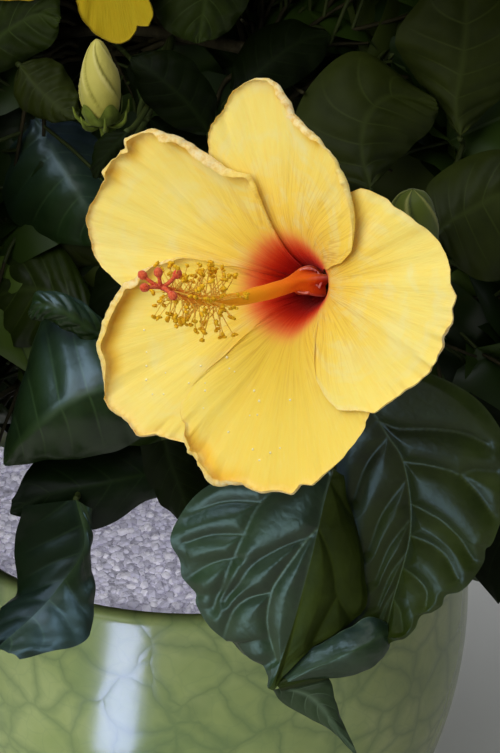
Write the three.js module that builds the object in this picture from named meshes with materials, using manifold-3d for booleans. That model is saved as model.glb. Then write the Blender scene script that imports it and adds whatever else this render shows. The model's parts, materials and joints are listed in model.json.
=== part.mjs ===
// A potted hibiscus shrub: a rounded, crackle-glazed pot, its compost and pale gravel mulch, one short
// woody stem that forks into boughs, a domed leafy crown made of separate foliage masses, five large
// open blooms and four buds.
// Units are millimetres, +Z is up. The origin is the middle of the pot's flat underside.
import * as THREE from 'three';
import { mergeVertices } from 'three/addons/utils/BufferGeometryUtils.js';
import Module from 'manifold-3d';

const wasm = await Module();
wasm.setup();

// ---------------------------------------------------------------- driving dimensions
const GAP = 0.4; // clearance between pieces that touch
const FOLIAGE_GAP = 2.4; // clearance between masses of foliage, and round the limbs that enter them

const POT_HEIGHT = 220;
const POT_FOOT_RADIUS = 98;
const POT_RIM_RADIUS = 134.5;
const POT_WALL = 8.5;
const POT_SIDES = 28;
// outer radius of the bowl at a height above the underside
const POT_BOWL = [
  [0, POT_FOOT_RADIUS],
  [4, 100.5],
  [22, 107.3],
  [48, 117.8],
  [76, 127.4],
  [105, 134.6],
  [136, 138.3],
  [175, 137.9],
  [214, POT_RIM_RADIUS],
];
const POT_FLOOR = 14; // thickness of the bowl's bottom
const SOIL_TOP = 192;
const MULCH_TOP = 205;

const STEM_FOOT = [14, 8]; // where the stem leaves the gravel
const STEM_FORK = [2, -4, 306];
const STEM_RADIUS_FOOT = 15;
const STEM_RADIUS_FORK = 9.5;
const STEM_FLARE = 6.5;

const CROWN_AXIS = [0, 12]; // the crown stands a little behind the pot's middle, as the blooms hang in front
const LOW = { z: 352, reach: 140, size: [101, 96, 72] };
const MID = { z: 470, reach: 112, size: [92, 88, 80] };
const TOP = { z: 580, reach: 58, size: [89, 84, 84] };

const BLOOM_RADIUS = 84; // longest petal, from the bloom's axis to its tip
const BLOOM_DEPTH = 27; // from the receptacle to the level of the open petals
const COLUMN_LENGTH = 91;

// ---------------------------------------------------------------- helpers
const V = (x, y, z) => new THREE.Vector3(x, y, z);
const rad = (deg) => (deg * Math.PI) / 180;
const group = new THREE.Group();
group.name = 'potted_hibiscus';

function bare(geometry) {
  const g = geometry.clone();
  for (const key of Object.keys(g.attributes)) if (key !== 'position') g.deleteAttribute(key);
  return mergeVertices(g, 1e-4);
}

// a closed three.js geometry as a solid, with its faces turned outward
function solid(geometry) {
  const g = bare(geometry);
  const p = g.attributes.position.array;
  const src = g.index.array;
  let tris = [];
  let volume = 0;
  for (let i = 0; i < src.length; i += 3) {
    const [a, b, c] = [src[i], src[i + 1], src[i + 2]];
    if (a === b || b === c || a === c) continue;
    tris.push(a, b, c);
    const A = V(p[3 * a], p[3 * a + 1], p[3 * a + 2]);
    const B = V(p[3 * b], p[3 * b + 1], p[3 * b + 2]);
    const C = V(p[3 * c], p[3 * c + 1], p[3 * c + 2]);
    volume += A.dot(B.cross(C)) / 6;
  }
  if (volume < 0) for (let i = 0; i < tris.length; i += 3) [tris[i + 1], tris[i + 2]] = [tris[i + 2], tris[i + 1]];
  return new wasm.Manifold(
    new wasm.Mesh({ numProp: 3, vertProperties: new Float32Array(p), triVerts: new Uint32Array(tris) }),
  );
}

function geometryOf(made) {
  const m = made.getMesh();
  const g = new THREE.BufferGeometry();
  g.setAttribute('position', new THREE.BufferAttribute(new Float32Array(m.vertProperties), 3));
  g.setIndex(Array.from(m.triVerts));
  return g;
}

// the biggest single body that a cut leaves, or the one nearest to a point
function onePiece(made, near) {
  const parts = made.decompose();
  let best = null;
  let score = -Infinity;
  for (const part of parts) {
    let s = part.volume();
    if (near) {
      const b = part.boundingBox();
      const d = [0, 1, 2].map((k) => Math.max(b.min[k] - near[k], 0, near[k] - b.max[k]));
      s = part.volume() > 20 ? -Math.hypot(...d) * 1e6 + s : -Infinity;
    }
    if (s > score) [best, score] = [part, s];
  }
  return best;
}

const MATERIALS = {
  glaze: new THREE.MeshStandardMaterial({ color: 0x7f8f5c, roughness: 0.18, metalness: 0 }),
  compost: new THREE.MeshStandardMaterial({ color: 0x2e241b, roughness: 0.95, metalness: 0 }),
  gravel: new THREE.MeshStandardMaterial({ color: 0x9b9aa6, roughness: 0.9, metalness: 0 }),
  bark: new THREE.MeshStandardMaterial({ color: 0x6d6254, roughness: 0.85, metalness: 0 }),
  leaf: new THREE.MeshStandardMaterial({ color: 0x1f3a1c, roughness: 0.4, metalness: 0 }),
  petal: new THREE.MeshStandardMaterial({ color: 0xf4d35e, roughness: 0.6, metalness: 0 }),
  column: new THREE.MeshStandardMaterial({ color: 0xe9873a, roughness: 0.6, metalness: 0 }),
  calyx: new THREE.MeshStandardMaterial({ color: 0x5f7a35, roughness: 0.6, metalness: 0 }),
  bud: new THREE.MeshStandardMaterial({ color: 0xb9b05a, roughness: 0.6, metalness: 0 }),
};

function add(name, geometry, material) {
  const mesh = new THREE.Mesh(geometry, MATERIALS[material]);
  mesh.name = name;
  group.add(mesh);
  return mesh;
}

// a lathe about +Z from a list of [radius, height]
function lathe(profile, sides) {
  const g = new THREE.LatheGeometry(
    profile.map(([r, z]) => new THREE.Vector2(r, z)),
    sides,
  );
  g.rotateX(Math.PI / 2);
  return g;
}

// a tapering limb with flat ends along a smooth curve
function limbGeometry(points, radiusAt, sides, steps) {
  const curve = new THREE.CatmullRomCurve3(points.map((p) => V(...p)));
  const frames = curve.computeFrenetFrames(steps, false);
  const position = [];
  const index = [];
  for (let i = 0; i <= steps; i++) {
    const c = curve.getPointAt(i / steps);
    const r = radiusAt(i / steps);
    for (let j = 0; j < sides; j++) {
      const a = (2 * Math.PI * j) / sides;
      const v = c
        .clone()
        .addScaledVector(frames.normals[i], r * Math.cos(a))
        .addScaledVector(frames.binormals[i], r * Math.sin(a));
      position.push(v.x, v.y, v.z);
    }
  }
  for (let i = 0; i < steps; i++)
    for (let j = 0; j < sides; j++) {
      const a = i * sides + j;
      const b = i * sides + ((j + 1) % sides);
      index.push(a, b, a + sides, b, b + sides, a + sides);
    }
  for (const [ring, flip] of [
    [0, true],
    [steps, false],
  ]) {
    const c = curve.getPointAt(ring / steps);
    position.push(c.x, c.y, c.z);
    const mid = position.length / 3 - 1;
    for (let j = 0; j < sides; j++) {
      const a = ring * sides + j;
      const b = ring * sides + ((j + 1) % sides);
      if (flip) index.push(mid, b, a);
      else index.push(mid, a, b);
    }
  }
  const g = new THREE.BufferGeometry();
  g.setAttribute('position', new THREE.Float32BufferAttribute(position, 3));
  g.setIndex(index);
  return g;
}

// a rotation that takes +Z to the given direction and +X as near as it can to the hint
function frameOf(axis, hint = [1, 0, 0]) {
  const z = V(...axis).normalize();
  const x = V(...hint);
  x.addScaledVector(z, -x.dot(z)).normalize();
  const y = z.clone().cross(x);
  return new THREE.Matrix4().makeBasis(x, y, z);
}

// ---------------------------------------------------------------- pot, compost and gravel
function innerRadius(z) {
  for (let i = 0; i < POT_BOWL.length - 1; i++) {
    const [z0, r0] = POT_BOWL[i];
    const [z1, r1] = POT_BOWL[i + 1];
    if (z <= z1) return r0 + ((r1 - r0) * (z - z0)) / (z1 - z0) - POT_WALL;
  }
  return POT_RIM_RADIUS - POT_WALL;
}
const potProfile = [[0, 0]];
for (const [z, r] of POT_BOWL) potProfile.push([r, z]);
potProfile.push([POT_RIM_RADIUS - 1.2, POT_HEIGHT - 1.6], [POT_RIM_RADIUS - 4.2, POT_HEIGHT]);
potProfile.push([POT_RIM_RADIUS - POT_WALL + 1.5, POT_HEIGHT - 1.2]);
const innerHeights = [206, 150, 90, 40];
for (const z of innerHeights) potProfile.push([innerRadius(z), z]);
potProfile.push([innerRadius(POT_FLOOR) - 8, POT_FLOOR], [0, POT_FLOOR]);
add('pot', lathe(potProfile, POT_SIDES), 'glaze');

const soilProfile = [[0, POT_FLOOR + GAP]];
soilProfile.push([innerRadius(POT_FLOOR) - 9, POT_FLOOR + GAP]);
for (const z of innerHeights.slice(1).reverse()) soilProfile.push([innerRadius(z) - 0.7, z]);
soilProfile.push([innerRadius(SOIL_TOP) - 0.7, SOIL_TOP], [0, SOIL_TOP]);
add('compost', lathe(soilProfile, POT_SIDES), 'compost');

const mulchEdge = innerRadius(MULCH_TOP) - 1.0;
const mulchProfile = [
  [0, SOIL_TOP + GAP],
  [mulchEdge, SOIL_TOP + GAP],
  [mulchEdge, MULCH_TOP - 3],
  [mulchEdge - 14, MULCH_TOP - 0.5],
  [mulchEdge - 60, MULCH_TOP],
  [0, MULCH_TOP],
];
add('gravel_mulch', lathe(mulchProfile, POT_SIDES), 'gravel');

// ---------------------------------------------------------------- stem
// true taper, a slight lean, and a flare where it meets the gravel, cut flat there
const STEM_BASE_Z = MULCH_TOP + GAP;
const stemPoints = [
  [STEM_FOOT[0], STEM_FOOT[1], STEM_BASE_Z - 6],
  [STEM_FOOT[0] - 3, STEM_FOOT[1] - 2, 238],
  [STEM_FOOT[0] - 7, STEM_FOOT[1] - 7, 272],
  STEM_FORK,
];
const stemRadius = (t) =>
  STEM_RADIUS_FOOT + (STEM_RADIUS_FORK - STEM_RADIUS_FOOT) * t + STEM_FLARE * Math.exp(-t / 0.12);
const below = solid(new THREE.BoxGeometry(200, 200, 40).translate(0, 0, STEM_BASE_Z - 20));
const trunk = solid(limbGeometry(stemPoints, stemRadius, 10, 8)).subtract(below);
const trunkFat = solid(limbGeometry(stemPoints, (t) => stemRadius(t) + GAP, 10, 8));
const trunkRoom = solid(limbGeometry(stemPoints, (t) => stemRadius(t) + FOLIAGE_GAP, 8, 6));
add('trunk', geometryOf(trunk), 'bark');

// ---------------------------------------------------------------- crown masses
// one closed, uneven solid each: a rounded body pushed in and out by a few smooth waves of its own
function lumpy(centre, size, phase, grow, detail = 2) {
  const g = bare(new THREE.IcosahedronGeometry(1, detail));
  const p = g.attributes.position;
  for (let i = 0; i < p.count; i++) {
    const n = V(p.getX(i), p.getY(i), p.getZ(i)).normalize();
    const wave =
      0.07 * Math.sin(3.1 * n.x + 1.7 * n.y + phase) +
      0.06 * Math.sin(4.3 * n.y - 2.9 * n.z + 2.1 * phase) +
      0.05 * Math.sin(5.2 * n.z + 3.7 * n.x + 0.7 * phase) +
      0.04 * Math.sin(7.9 * n.x - 6.1 * n.y + 1.3 * phase);
    const f = 1 + wave;
    const v = V(n.x * size[0] * f, n.y * size[1] * f, n.z * size[2] * f);
    v.addScaledVector(n, grow);
    p.setXYZ(i, v.x + centre[0], v.y + centre[1], v.z + centre[2]);
  }
  return g;
}
function around(ring, azimuth, { dz = 0, dr = 0, scale = [1, 1, 1] } = {}) {
  const a = rad(azimuth);
  const r = ring.reach + dr;
  return {
    centre: [CROWN_AXIS[0] + r * Math.cos(a), CROWN_AXIS[1] + r * Math.sin(a), ring.z + dz],
    size: ring.size.map((s, k) => s * scale[k]),
  };
}
const masses = [
  ['foliage_low_front_left', around(LOW, 236, { dz: 0, dr: 4, scale: [0.98, 1, 0.9] })],
  ['foliage_low_front_right', around(LOW, 306, { dz: -4, dr: -4, scale: [0.98, 1, 1] })],
  ['foliage_low_right', around(LOW, 0, { dz: 6, dr: 6 })],
  ['foliage_low_back_right', around(LOW, 55, { dz: -4, dr: 2 })],
  ['foliage_low_back_left', around(LOW, 118, { dz: 4, dr: 4 })],
  ['foliage_low_left', around(LOW, 180, { dz: 0, dr: 10 })],
  ['foliage_mid_front', around(MID, 288, { dz: -2, dr: -6, scale: [1.02, 0.95, 1] })],
  ['foliage_mid_right', around(MID, 4, { dz: 8 })],
  ['foliage_mid_back', around(MID, 78, { dz: -6, dr: 4 })],
  ['foliage_mid_left', around(MID, 150, { dz: 6, dr: 6 })],
  ['foliage_mid_front_left', around(MID, 218, { dz: -8, dr: -4, scale: [1, 0.95, 1] })],
  ['foliage_top_right', around(TOP, 320, { dz: -6 })],
  ['foliage_top_left', around(TOP, 200, { dz: 4, dr: 4 })],
  ['foliage_top_back', around(TOP, 80, { dz: 22, dr: -4 })],
];

// two thin hanging pads: the pair of big leaves that droop in front of the rim below the front bloom
const aprons = [
  ['foliage_front_apron_right', { centre: [93, -208, 312], size: [40, 9, 56], turn: [0.04, -0.1, -0.12] }],
  ['foliage_front_apron_left', { centre: [22, -214, 298], size: [42, 9, 46], turn: [0.1, 0.35, 0.12] }],
];
function apron({ centre, size, turn }, grow, phase) {
  const g = lumpy([0, 0, 0], size, phase, grow, 2);
  g.applyMatrix4(new THREE.Matrix4().makeRotationFromEuler(new THREE.Euler(...turn)));
  g.translate(...centre);
  return g;
}

// ---------------------------------------------------------------- blooms
// five overlapping petals: each reaches `reach` of the bloom's radius in its own direction
const PETALS = [
  { angle: 97, reach: 0.9 },
  { angle: -6, reach: 0.9 },
  { angle: -92, reach: 0.93 },
  { angle: -150, reach: 1.02 },
  { angle: 154, reach: 1.04 },
];
// the other blooms carry theirs a fifth of a turn apart
const EVEN_PETALS = [52, -20, -92, -164, 124].map((angle) => ({ angle, reach: 0.95 }));
const PETAL_HALF_ANGLE = 46;
function petalEdge(angle, radius, petals) {
  let edge = 0.58;
  for (const p of petals) {
    let d = Math.abs(angle - p.angle) % 360;
    if (d > 180) d = 360 - d;
    if (d < PETAL_HALF_ANGLE) edge = Math.max(edge, p.reach * (0.62 + 0.38 * Math.cos((rad(90) * d) / PETAL_HALF_ANGLE) ** 0.7));
  }
  return edge * radius;
}
const saucer = (r, radius) =>
  BLOOM_DEPTH * (1 - Math.exp(-Math.max(r - 5, 0) / 9)) + 9 * (r / radius) ** 1.6;
// a closed dish between the petals' front and back, about +Z, with its narrow base at the origin
function corolla(radius, sides, rings, back, petals, grow = 0) {
  const position = [];
  const index = [];
  const fractions = Array.from({ length: rings }, (_, i) => ((i + 1) / rings) ** 1.35);
  for (const front of [1, 0]) {
    for (const f of fractions)
      for (let j = 0; j < sides; j++) {
        const angle = (360 * j) / sides;
        const r = (petalEdge(angle, radius, petals) + grow) * f;
        const ruffle = 2.2 * f * f * Math.sin(rad(angle) * 5 + 1.1);
        const h = saucer(r, radius) + ruffle - (front ? -0.8 - grow : back * (0.55 + 0.45 * f) + grow);
        position.push(r * Math.cos(rad(angle)), r * Math.sin(rad(angle)), h);
      }
    position.push(0, 0, front ? 1.2 + grow : -3.2 - grow);
  }
  const layer = rings * sides + 1;
  const at = (front, i, j) => (front ? 0 : layer) + i * sides + (j % sides);
  for (const front of [1, 0]) {
    const face = (a, b, c) => (front ? index.push(a, b, c) : index.push(a, c, b));
    const pole = (front ? 0 : layer) + rings * sides;
    for (let j = 0; j < sides; j++) {
      face(pole, at(front, 0, j), at(front, 0, j + 1));
      for (let i = 0; i < rings - 1; i++) {
        face(at(front, i, j), at(front, i + 1, j), at(front, i + 1, j + 1));
        face(at(front, i, j), at(front, i + 1, j + 1), at(front, i, j + 1));
      }
    }
  }
  for (let j = 0; j < sides; j++) {
    const [a, b] = [at(1, rings - 1, j), at(1, rings - 1, j + 1)];
    const [c, d] = [at(0, rings - 1, j), at(0, rings - 1, j + 1)];
    index.push(a, c, b, b, c, d);
  }
  const g = new THREE.BufferGeometry();
  g.setAttribute('position', new THREE.Float32BufferAttribute(position, 3));
  g.setIndex(index);
  return g;
}
// the staminal column: a slender rod, the brush of stamens on its outer half, and the split style
function columnGeometry(length, sides) {
  return lathe(
    [
      [0, 0],
      [4.2, 0],
      [3.0, 0.14 * length],
      [2.6, 0.42 * length],
      [9.5, 0.47 * length],
      [13.5, 0.62 * length],
      [11.5, 0.8 * length],
      [7.0, 0.88 * length],
      [7.5, 1.02 * length],
      [0, 1.06 * length],
    ],
    sides,
  );
}
const CALYX_LENGTH = 24;
const calyxGeometry = (sides) =>
  lathe(
    [
      [0, -CALYX_LENGTH],
      [3.0, -CALYX_LENGTH],
      [6.5, -CALYX_LENGTH * 0.62],
      [6.2, -CALYX_LENGTH * 0.36],
      [5.6, -4.2],
      [0, -4.2],
    ],
    sides,
  );

// `at` is the receptacle, `axis` the way the bloom faces, `column` the way its column points
const blooms = [
  { name: 'bloom_front', at: [52.4, -190.6, 406.6], axis: [-0.5299, -0.7622, 0.3718], hint: [0.848, -0.4763, 0.2323], column: [-0.6262, -0.7142, 0.3127], radius: BLOOM_RADIUS, sides: 25, rings: 4 },
  { name: 'bloom_upper', at: [-30, -76, 539], axis: [-0.27, -0.96, 0.08], hint: [0.963, -0.253, 0.216], radius: 68, sides: 20, rings: 3 },
  { name: 'bloom_right', at: [192, 70, 452], axis: [0.83, 0.3, 0.47], hint: [-0.3, 0.95, 0.1], radius: 76, sides: 20, rings: 3 },
  { name: 'bloom_back', at: [-46, 198, 430], axis: [-0.22, 0.88, 0.42], hint: [-1, -0.2, 0], radius: 78, sides: 20, rings: 3 },
  { name: 'bloom_left', at: [-178, -8, 500], axis: [-0.78, -0.2, 0.59], hint: [0.2, -1, 0], radius: 74, sides: 20, rings: 3 },
];

// ---------------------------------------------------------------- buds
const BUD_LENGTH = 46;
const budGeometry = (scale, sides) =>
  lathe(
    [
      [0, 0],
      [2.2, 0],
      [8.2, 5],
      [9.4, 15],
      [8.8, 25],
      [6.2, 36],
      [2.2, 45],
      [0, BUD_LENGTH],
    ].map(([r, z]) => [r * scale, z * scale]),
    sides,
  );
const buds = [
  { name: 'bud_upper_left', at: [-32, -142, 455], axis: [-0.06, -0.15, 1], scale: 0.9 },
  { name: 'bud_right', at: [90, -157, 384], axis: [-0.05, -0.1, 1], scale: 1.1 },
  { name: 'bud_back', at: [118, 158, 440], axis: [0.5, 0.62, 0.75], scale: 0.95 },
  { name: 'bud_top', at: [-20, -30, 668], axis: [-0.25, -0.3, 1], scale: 0.9 },
];

// ---------------------------------------------------------------- carve everything clear of everything
const rawMass = masses.map(([, m], i) => solid(lumpy(m.centre, m.size, 1.3 * i + 0.4, 0)));
const fatMass = masses.map(([, m], i) => solid(lumpy(m.centre, m.size, 1.3 * i + 0.4, FOLIAGE_GAP)));
const keepClear = []; // solids that the masses leave room for
const limbs = [];
const limbRoom = [];

// a slender stalk from a point into the nearest mass, ending where it enters the foliage
function stalk(from, back, radius) {
  const start = V(...from);
  let nearest = 0;
  let least = Infinity;
  masses.forEach(([, m], i) => {
    const d = Math.hypot(...m.centre.map((c, k) => (c - from[k]) / m.size[k]));
    if (d < least) [nearest, least] = [i, d];
  });
  const target = V(...masses[nearest][1].centre);
  const lead = start.clone().addScaledVector(V(...back).normalize(), -12);
  const g = limbGeometry([start.toArray(), lead.toArray(), target.toArray()], () => radius, 5, 4);
  let made = solid(g);
  for (const f of fatMass) made = made.subtract(f);
  return made;
}

for (const b of blooms) {
  const place = (g, axis = b.axis) => g.applyMatrix4(frameOf(axis, b.hint)).translate(...b.at);
  const size = b.radius / BLOOM_RADIUS;
  const petals = b.column ? PETALS : EVEN_PETALS;
  const dish = solid(place(corolla(b.radius, b.sides, b.rings, 3.2, petals)));
  const fatDish = solid(place(corolla(b.radius, b.sides, b.rings, 3.2, petals, 0.5)));
  add(b.name + '_petals', geometryOf(dish), 'petal');
  const rod = solid(place(columnGeometry(COLUMN_LENGTH * size, 8), b.column ?? b.axis));
  add(b.name + '_column', geometryOf(onePiece(rod.subtract(fatDish))), 'column');
  const cup = solid(place(calyxGeometry(8)));
  const foot = V(...b.at).addScaledVector(V(...b.axis).normalize(), -CALYX_LENGTH + 3);
  const green = cup.add(stalk(foot.toArray(), b.axis, 2)).subtract(fatDish);
  const root = V(...b.at).addScaledVector(V(...b.axis).normalize(), -12);
  add(b.name + '_calyx', geometryOf(onePiece(green, root.toArray())), 'calyx');
  // room behind and in front of the petals, round the calyx, and round the column
  const rim = b.radius * 1.1;
  const room = [[0, -CALYX_LENGTH - 1], [4.4, -CALYX_LENGTH - 1], [8.2, -CALYX_LENGTH * 0.5], [10, -2], [26, saucer(18, b.radius) - 7]];
  room.push([rim, saucer(rim, b.radius) - 9], [rim, saucer(rim, b.radius) + 5], [24, BLOOM_DEPTH + 8], [20, 0.9 * COLUMN_LENGTH], [14, COLUMN_LENGTH * 1.16], [0, COLUMN_LENGTH * 1.16]);
  keepClear.push(solid(place(lathe(room, 12))));
  if (b.column) keepClear.push(solid(place(lathe([[0, 30], [18, 30], [18, COLUMN_LENGTH * 1.1], [0, COLUMN_LENGTH * 1.1]], 8), b.column)));
}
for (const b of buds) {
  const place = (g) => g.applyMatrix4(frameOf(b.axis)).translate(...b.at);
  const inside = V(...b.at).addScaledVector(V(...b.axis).normalize(), 2);
  const whole = solid(place(budGeometry(b.scale, 8))).add(stalk(inside.toArray(), b.axis, 1.6));
  add(b.name, geometryOf(onePiece(whole, V(...b.at).addScaledVector(V(...b.axis).normalize(), 12).toArray())), 'bud');
  keepClear.push(solid(place(lathe([[0, -0.6], [2.8, -0.6], [9.2, 4], [10.6, 15], [9.8, 26], [6.8, 38], [0, 48]].map(([r, z]) => [r * b.scale, z * b.scale]), 8))));
}

// boughs: each is one tapering limb from the fork or the upper stem into its mass
const stemCurve = new THREE.CatmullRomCurve3(stemPoints.map((p) => V(...p)));
function boughPath(t, target, lift) {
  const s = stemCurve.getPointAt(t);
  const e = V(...target);
  const mid = s.clone().lerp(e, 0.45).add(V(0, 0, -lift));
  return [s.toArray(), mid.toArray(), e.toArray()];
}
const boughs = [
  ['bough_low_front_left', 0.62, 0, 6.0, 12],
  ['bough_low_front_right', 0.78, 1, 6.0, 10],
  ['bough_low_right', 0.5, 2, 6.5, 14],
  ['bough_low_back_right', 0.72, 3, 6.2, 12],
  ['bough_low_back_left', 0.56, 4, 6.6, 14],
  ['bough_low_left', 0.84, 5, 6.2, 12],
  ['bough_mid_front', 0.97, 6, 6.0, -6],
  ['bough_mid_right', 0.93, 7, 6.4, -6],
  ['bough_mid_back', 0.96, 8, 6.4, -8],
  ['bough_mid_left', 0.94, 9, 6.2, -8],
  ['bough_leader', 0.985, 13, 7.0, -4],
];

// the leader stays whole up to the top masses, which with the mid masses are cut round it
for (const [name, t, target, r, lift] of boughs) {
  const leader = name === 'bough_leader';
  const end = leader ? [6, 20, 560] : masses[target][1].centre;
  const path = boughPath(t, end, lift);
  const radius = (grow) => (s) => r * (1 - 0.5 * s) + grow;
  let limb = solid(limbGeometry(path, radius(0), 7, 5)).subtract(trunkFat);
  for (const other of limbs) limb = limb.subtract(other);
  if (!leader) limb = limb.subtract(fatMass[target]);
  fatMass.forEach((m, i) => {
    if (!leader && i !== target && i < 6 && target < 6) limb = limb.subtract(m);
    if (leader && i >= 11) limb = limb.subtract(m);
  });
  limb = onePiece(limb, stemCurve.getPointAt(t).toArray());
  limbs.push(solid(limbGeometry(path, radius(0.6), 7, 5)));
  limbRoom.push(solid(limbGeometry(path, radius(FOLIAGE_GAP), 5, 4)));
  add(name, geometryOf(limb), 'bark');
}

// two masses that meet are parted by one flat cut between them, where their surfaces cross
function partBetween(made, i, j) {
  const from = V(...masses[i][1].centre);
  const to = V(...masses[j][1].centre);
  const u = to.clone().sub(from);
  const distance = u.length();
  u.divideScalar(distance);
  const along = (m) => 1 / Math.hypot(u.x / m.size[0], u.y / m.size[1], u.z / m.size[2]);
  const [ri, rj] = [along(masses[i][1]), along(masses[j][1])];
  const cut = from.addScaledVector(u, (distance * ri) / (ri + rj) - FOLIAGE_GAP / 2);
  return made.trimByPlane([-u.x, -u.y, -u.z], -u.dot(cut));
}
masses.forEach(([name], i) => {
  let m = rawMass[i];
  masses.forEach((_, j) => {
    if (j !== i && rawMass[i].intersect(fatMass[j]).volume() > 0.001) m = partBetween(m, i, j);
  });
  for (const k of keepClear) m = m.subtract(k);
  m = m.subtract(trunkRoom);
  for (const l of limbRoom) m = m.subtract(l);
  m = onePiece(m).simplify(0.1);
  add(name, geometryOf(m), 'leaf');
});
aprons.forEach(([name, a], i) => {
  let m = solid(apron(a, 0, 2.2 + i));
  for (const f of fatMass) m = m.subtract(f);
  for (const k of keepClear) m = m.subtract(k);
  if (i > 0) m = m.subtract(solid(apron(aprons[0][1], 0.6, 2.2)));
  add(name, geometryOf(onePiece(m)), 'leaf');
});

export default group;
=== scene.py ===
# A potted hibiscus shrub in flower: petals, stamens, leaves, twigs, bark, gravel and crackle glaze,
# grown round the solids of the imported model. Metres, +Z up, the front of the plant faces -Y.
import bpy, json, math
import numpy as np
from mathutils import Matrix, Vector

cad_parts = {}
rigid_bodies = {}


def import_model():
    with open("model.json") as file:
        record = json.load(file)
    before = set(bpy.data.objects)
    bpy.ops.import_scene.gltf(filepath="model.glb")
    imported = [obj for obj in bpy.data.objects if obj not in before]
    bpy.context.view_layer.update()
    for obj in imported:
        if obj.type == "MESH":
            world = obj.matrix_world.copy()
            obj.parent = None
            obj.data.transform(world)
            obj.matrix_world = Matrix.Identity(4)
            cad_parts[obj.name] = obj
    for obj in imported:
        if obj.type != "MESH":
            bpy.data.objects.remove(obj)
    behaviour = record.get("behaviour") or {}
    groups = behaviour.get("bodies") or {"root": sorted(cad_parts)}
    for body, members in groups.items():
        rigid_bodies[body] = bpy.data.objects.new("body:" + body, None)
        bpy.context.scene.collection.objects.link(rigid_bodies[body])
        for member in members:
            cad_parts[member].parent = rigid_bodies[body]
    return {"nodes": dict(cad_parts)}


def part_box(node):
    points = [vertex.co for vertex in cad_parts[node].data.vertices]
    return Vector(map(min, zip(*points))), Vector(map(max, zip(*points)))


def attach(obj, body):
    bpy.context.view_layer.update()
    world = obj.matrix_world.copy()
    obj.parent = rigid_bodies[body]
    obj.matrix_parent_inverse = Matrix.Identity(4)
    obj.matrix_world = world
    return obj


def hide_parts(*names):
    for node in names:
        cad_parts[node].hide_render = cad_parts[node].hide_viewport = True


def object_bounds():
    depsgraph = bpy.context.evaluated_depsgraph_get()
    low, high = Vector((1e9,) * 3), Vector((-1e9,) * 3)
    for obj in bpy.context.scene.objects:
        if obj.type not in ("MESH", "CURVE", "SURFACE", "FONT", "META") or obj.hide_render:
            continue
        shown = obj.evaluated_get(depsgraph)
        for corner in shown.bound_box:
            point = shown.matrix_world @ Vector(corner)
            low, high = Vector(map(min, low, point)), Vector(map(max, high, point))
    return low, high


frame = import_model()
CAD_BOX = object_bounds()
CAD_LO, CAD_HI = (np.array([float(x) for x in p]) for p in CAD_BOX)
rng = np.random.default_rng(20240611)
MM = 0.001


def V(*p):
    return np.array(p, float)


def unit(v):
    v = np.asarray(v, float)
    return v / np.maximum(np.linalg.norm(v, axis=-1, keepdims=True), 1e-12)


def smooth(x, lo, hi):
    t = np.clip((np.asarray(x, float) - lo) / (hi - lo), 0, 1)
    return t * t * (3 - 2 * t)


def lin(r, g, b):
    c = np.array([r, g, b], float) / 255
    return tuple(np.where(c <= 0.04045, c / 12.92, ((c + 0.055) / 1.055) ** 2.4)) + (1.0,)


# ------------------------------------------------------------------ camera
FOCAL = 2000.0  # pixels, in a frame of 500 x 753
CX, CY = 250.0, 376.5
PITCH = math.radians(26.0)
LOOK = V(0, math.cos(PITCH), -math.sin(PITCH))
UP = V(0, math.sin(PITCH), math.cos(PITCH))
RIGHT = V(1, 0, 0)
EYE = V(0.0255, -0.8913, 0.7103)


def at(x, y, depth):
    """The point at that pixel of the photograph's frame and that depth in metres."""
    return EYE + depth * (LOOK + RIGHT * (x - CX) / FOCAL - UP * (y - CY) / FOCAL)


def seen(p):
    r = np.asarray(p, float) - EYE
    z = r @ LOOK
    return CX + FOCAL * (r @ RIGHT) / z, CY - FOCAL * (r @ UP) / z, z


cam_data = bpy.data.cameras.new("camera")
cam_data.sensor_width = 36.0
cam_data.sensor_fit = "AUTO"
cam_data.lens = FOCAL / 753 * 36.0
cam_data.clip_start, cam_data.clip_end = 0.02, 50
cam = bpy.data.objects.new("camera", cam_data)
bpy.context.scene.collection.objects.link(cam)
cam.location = EYE
cam.rotation_euler = (math.pi / 2 - PITCH, 0, 0)
bpy.context.scene.camera = cam
bpy.context.scene.view_settings.view_transform = "Standard"


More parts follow.
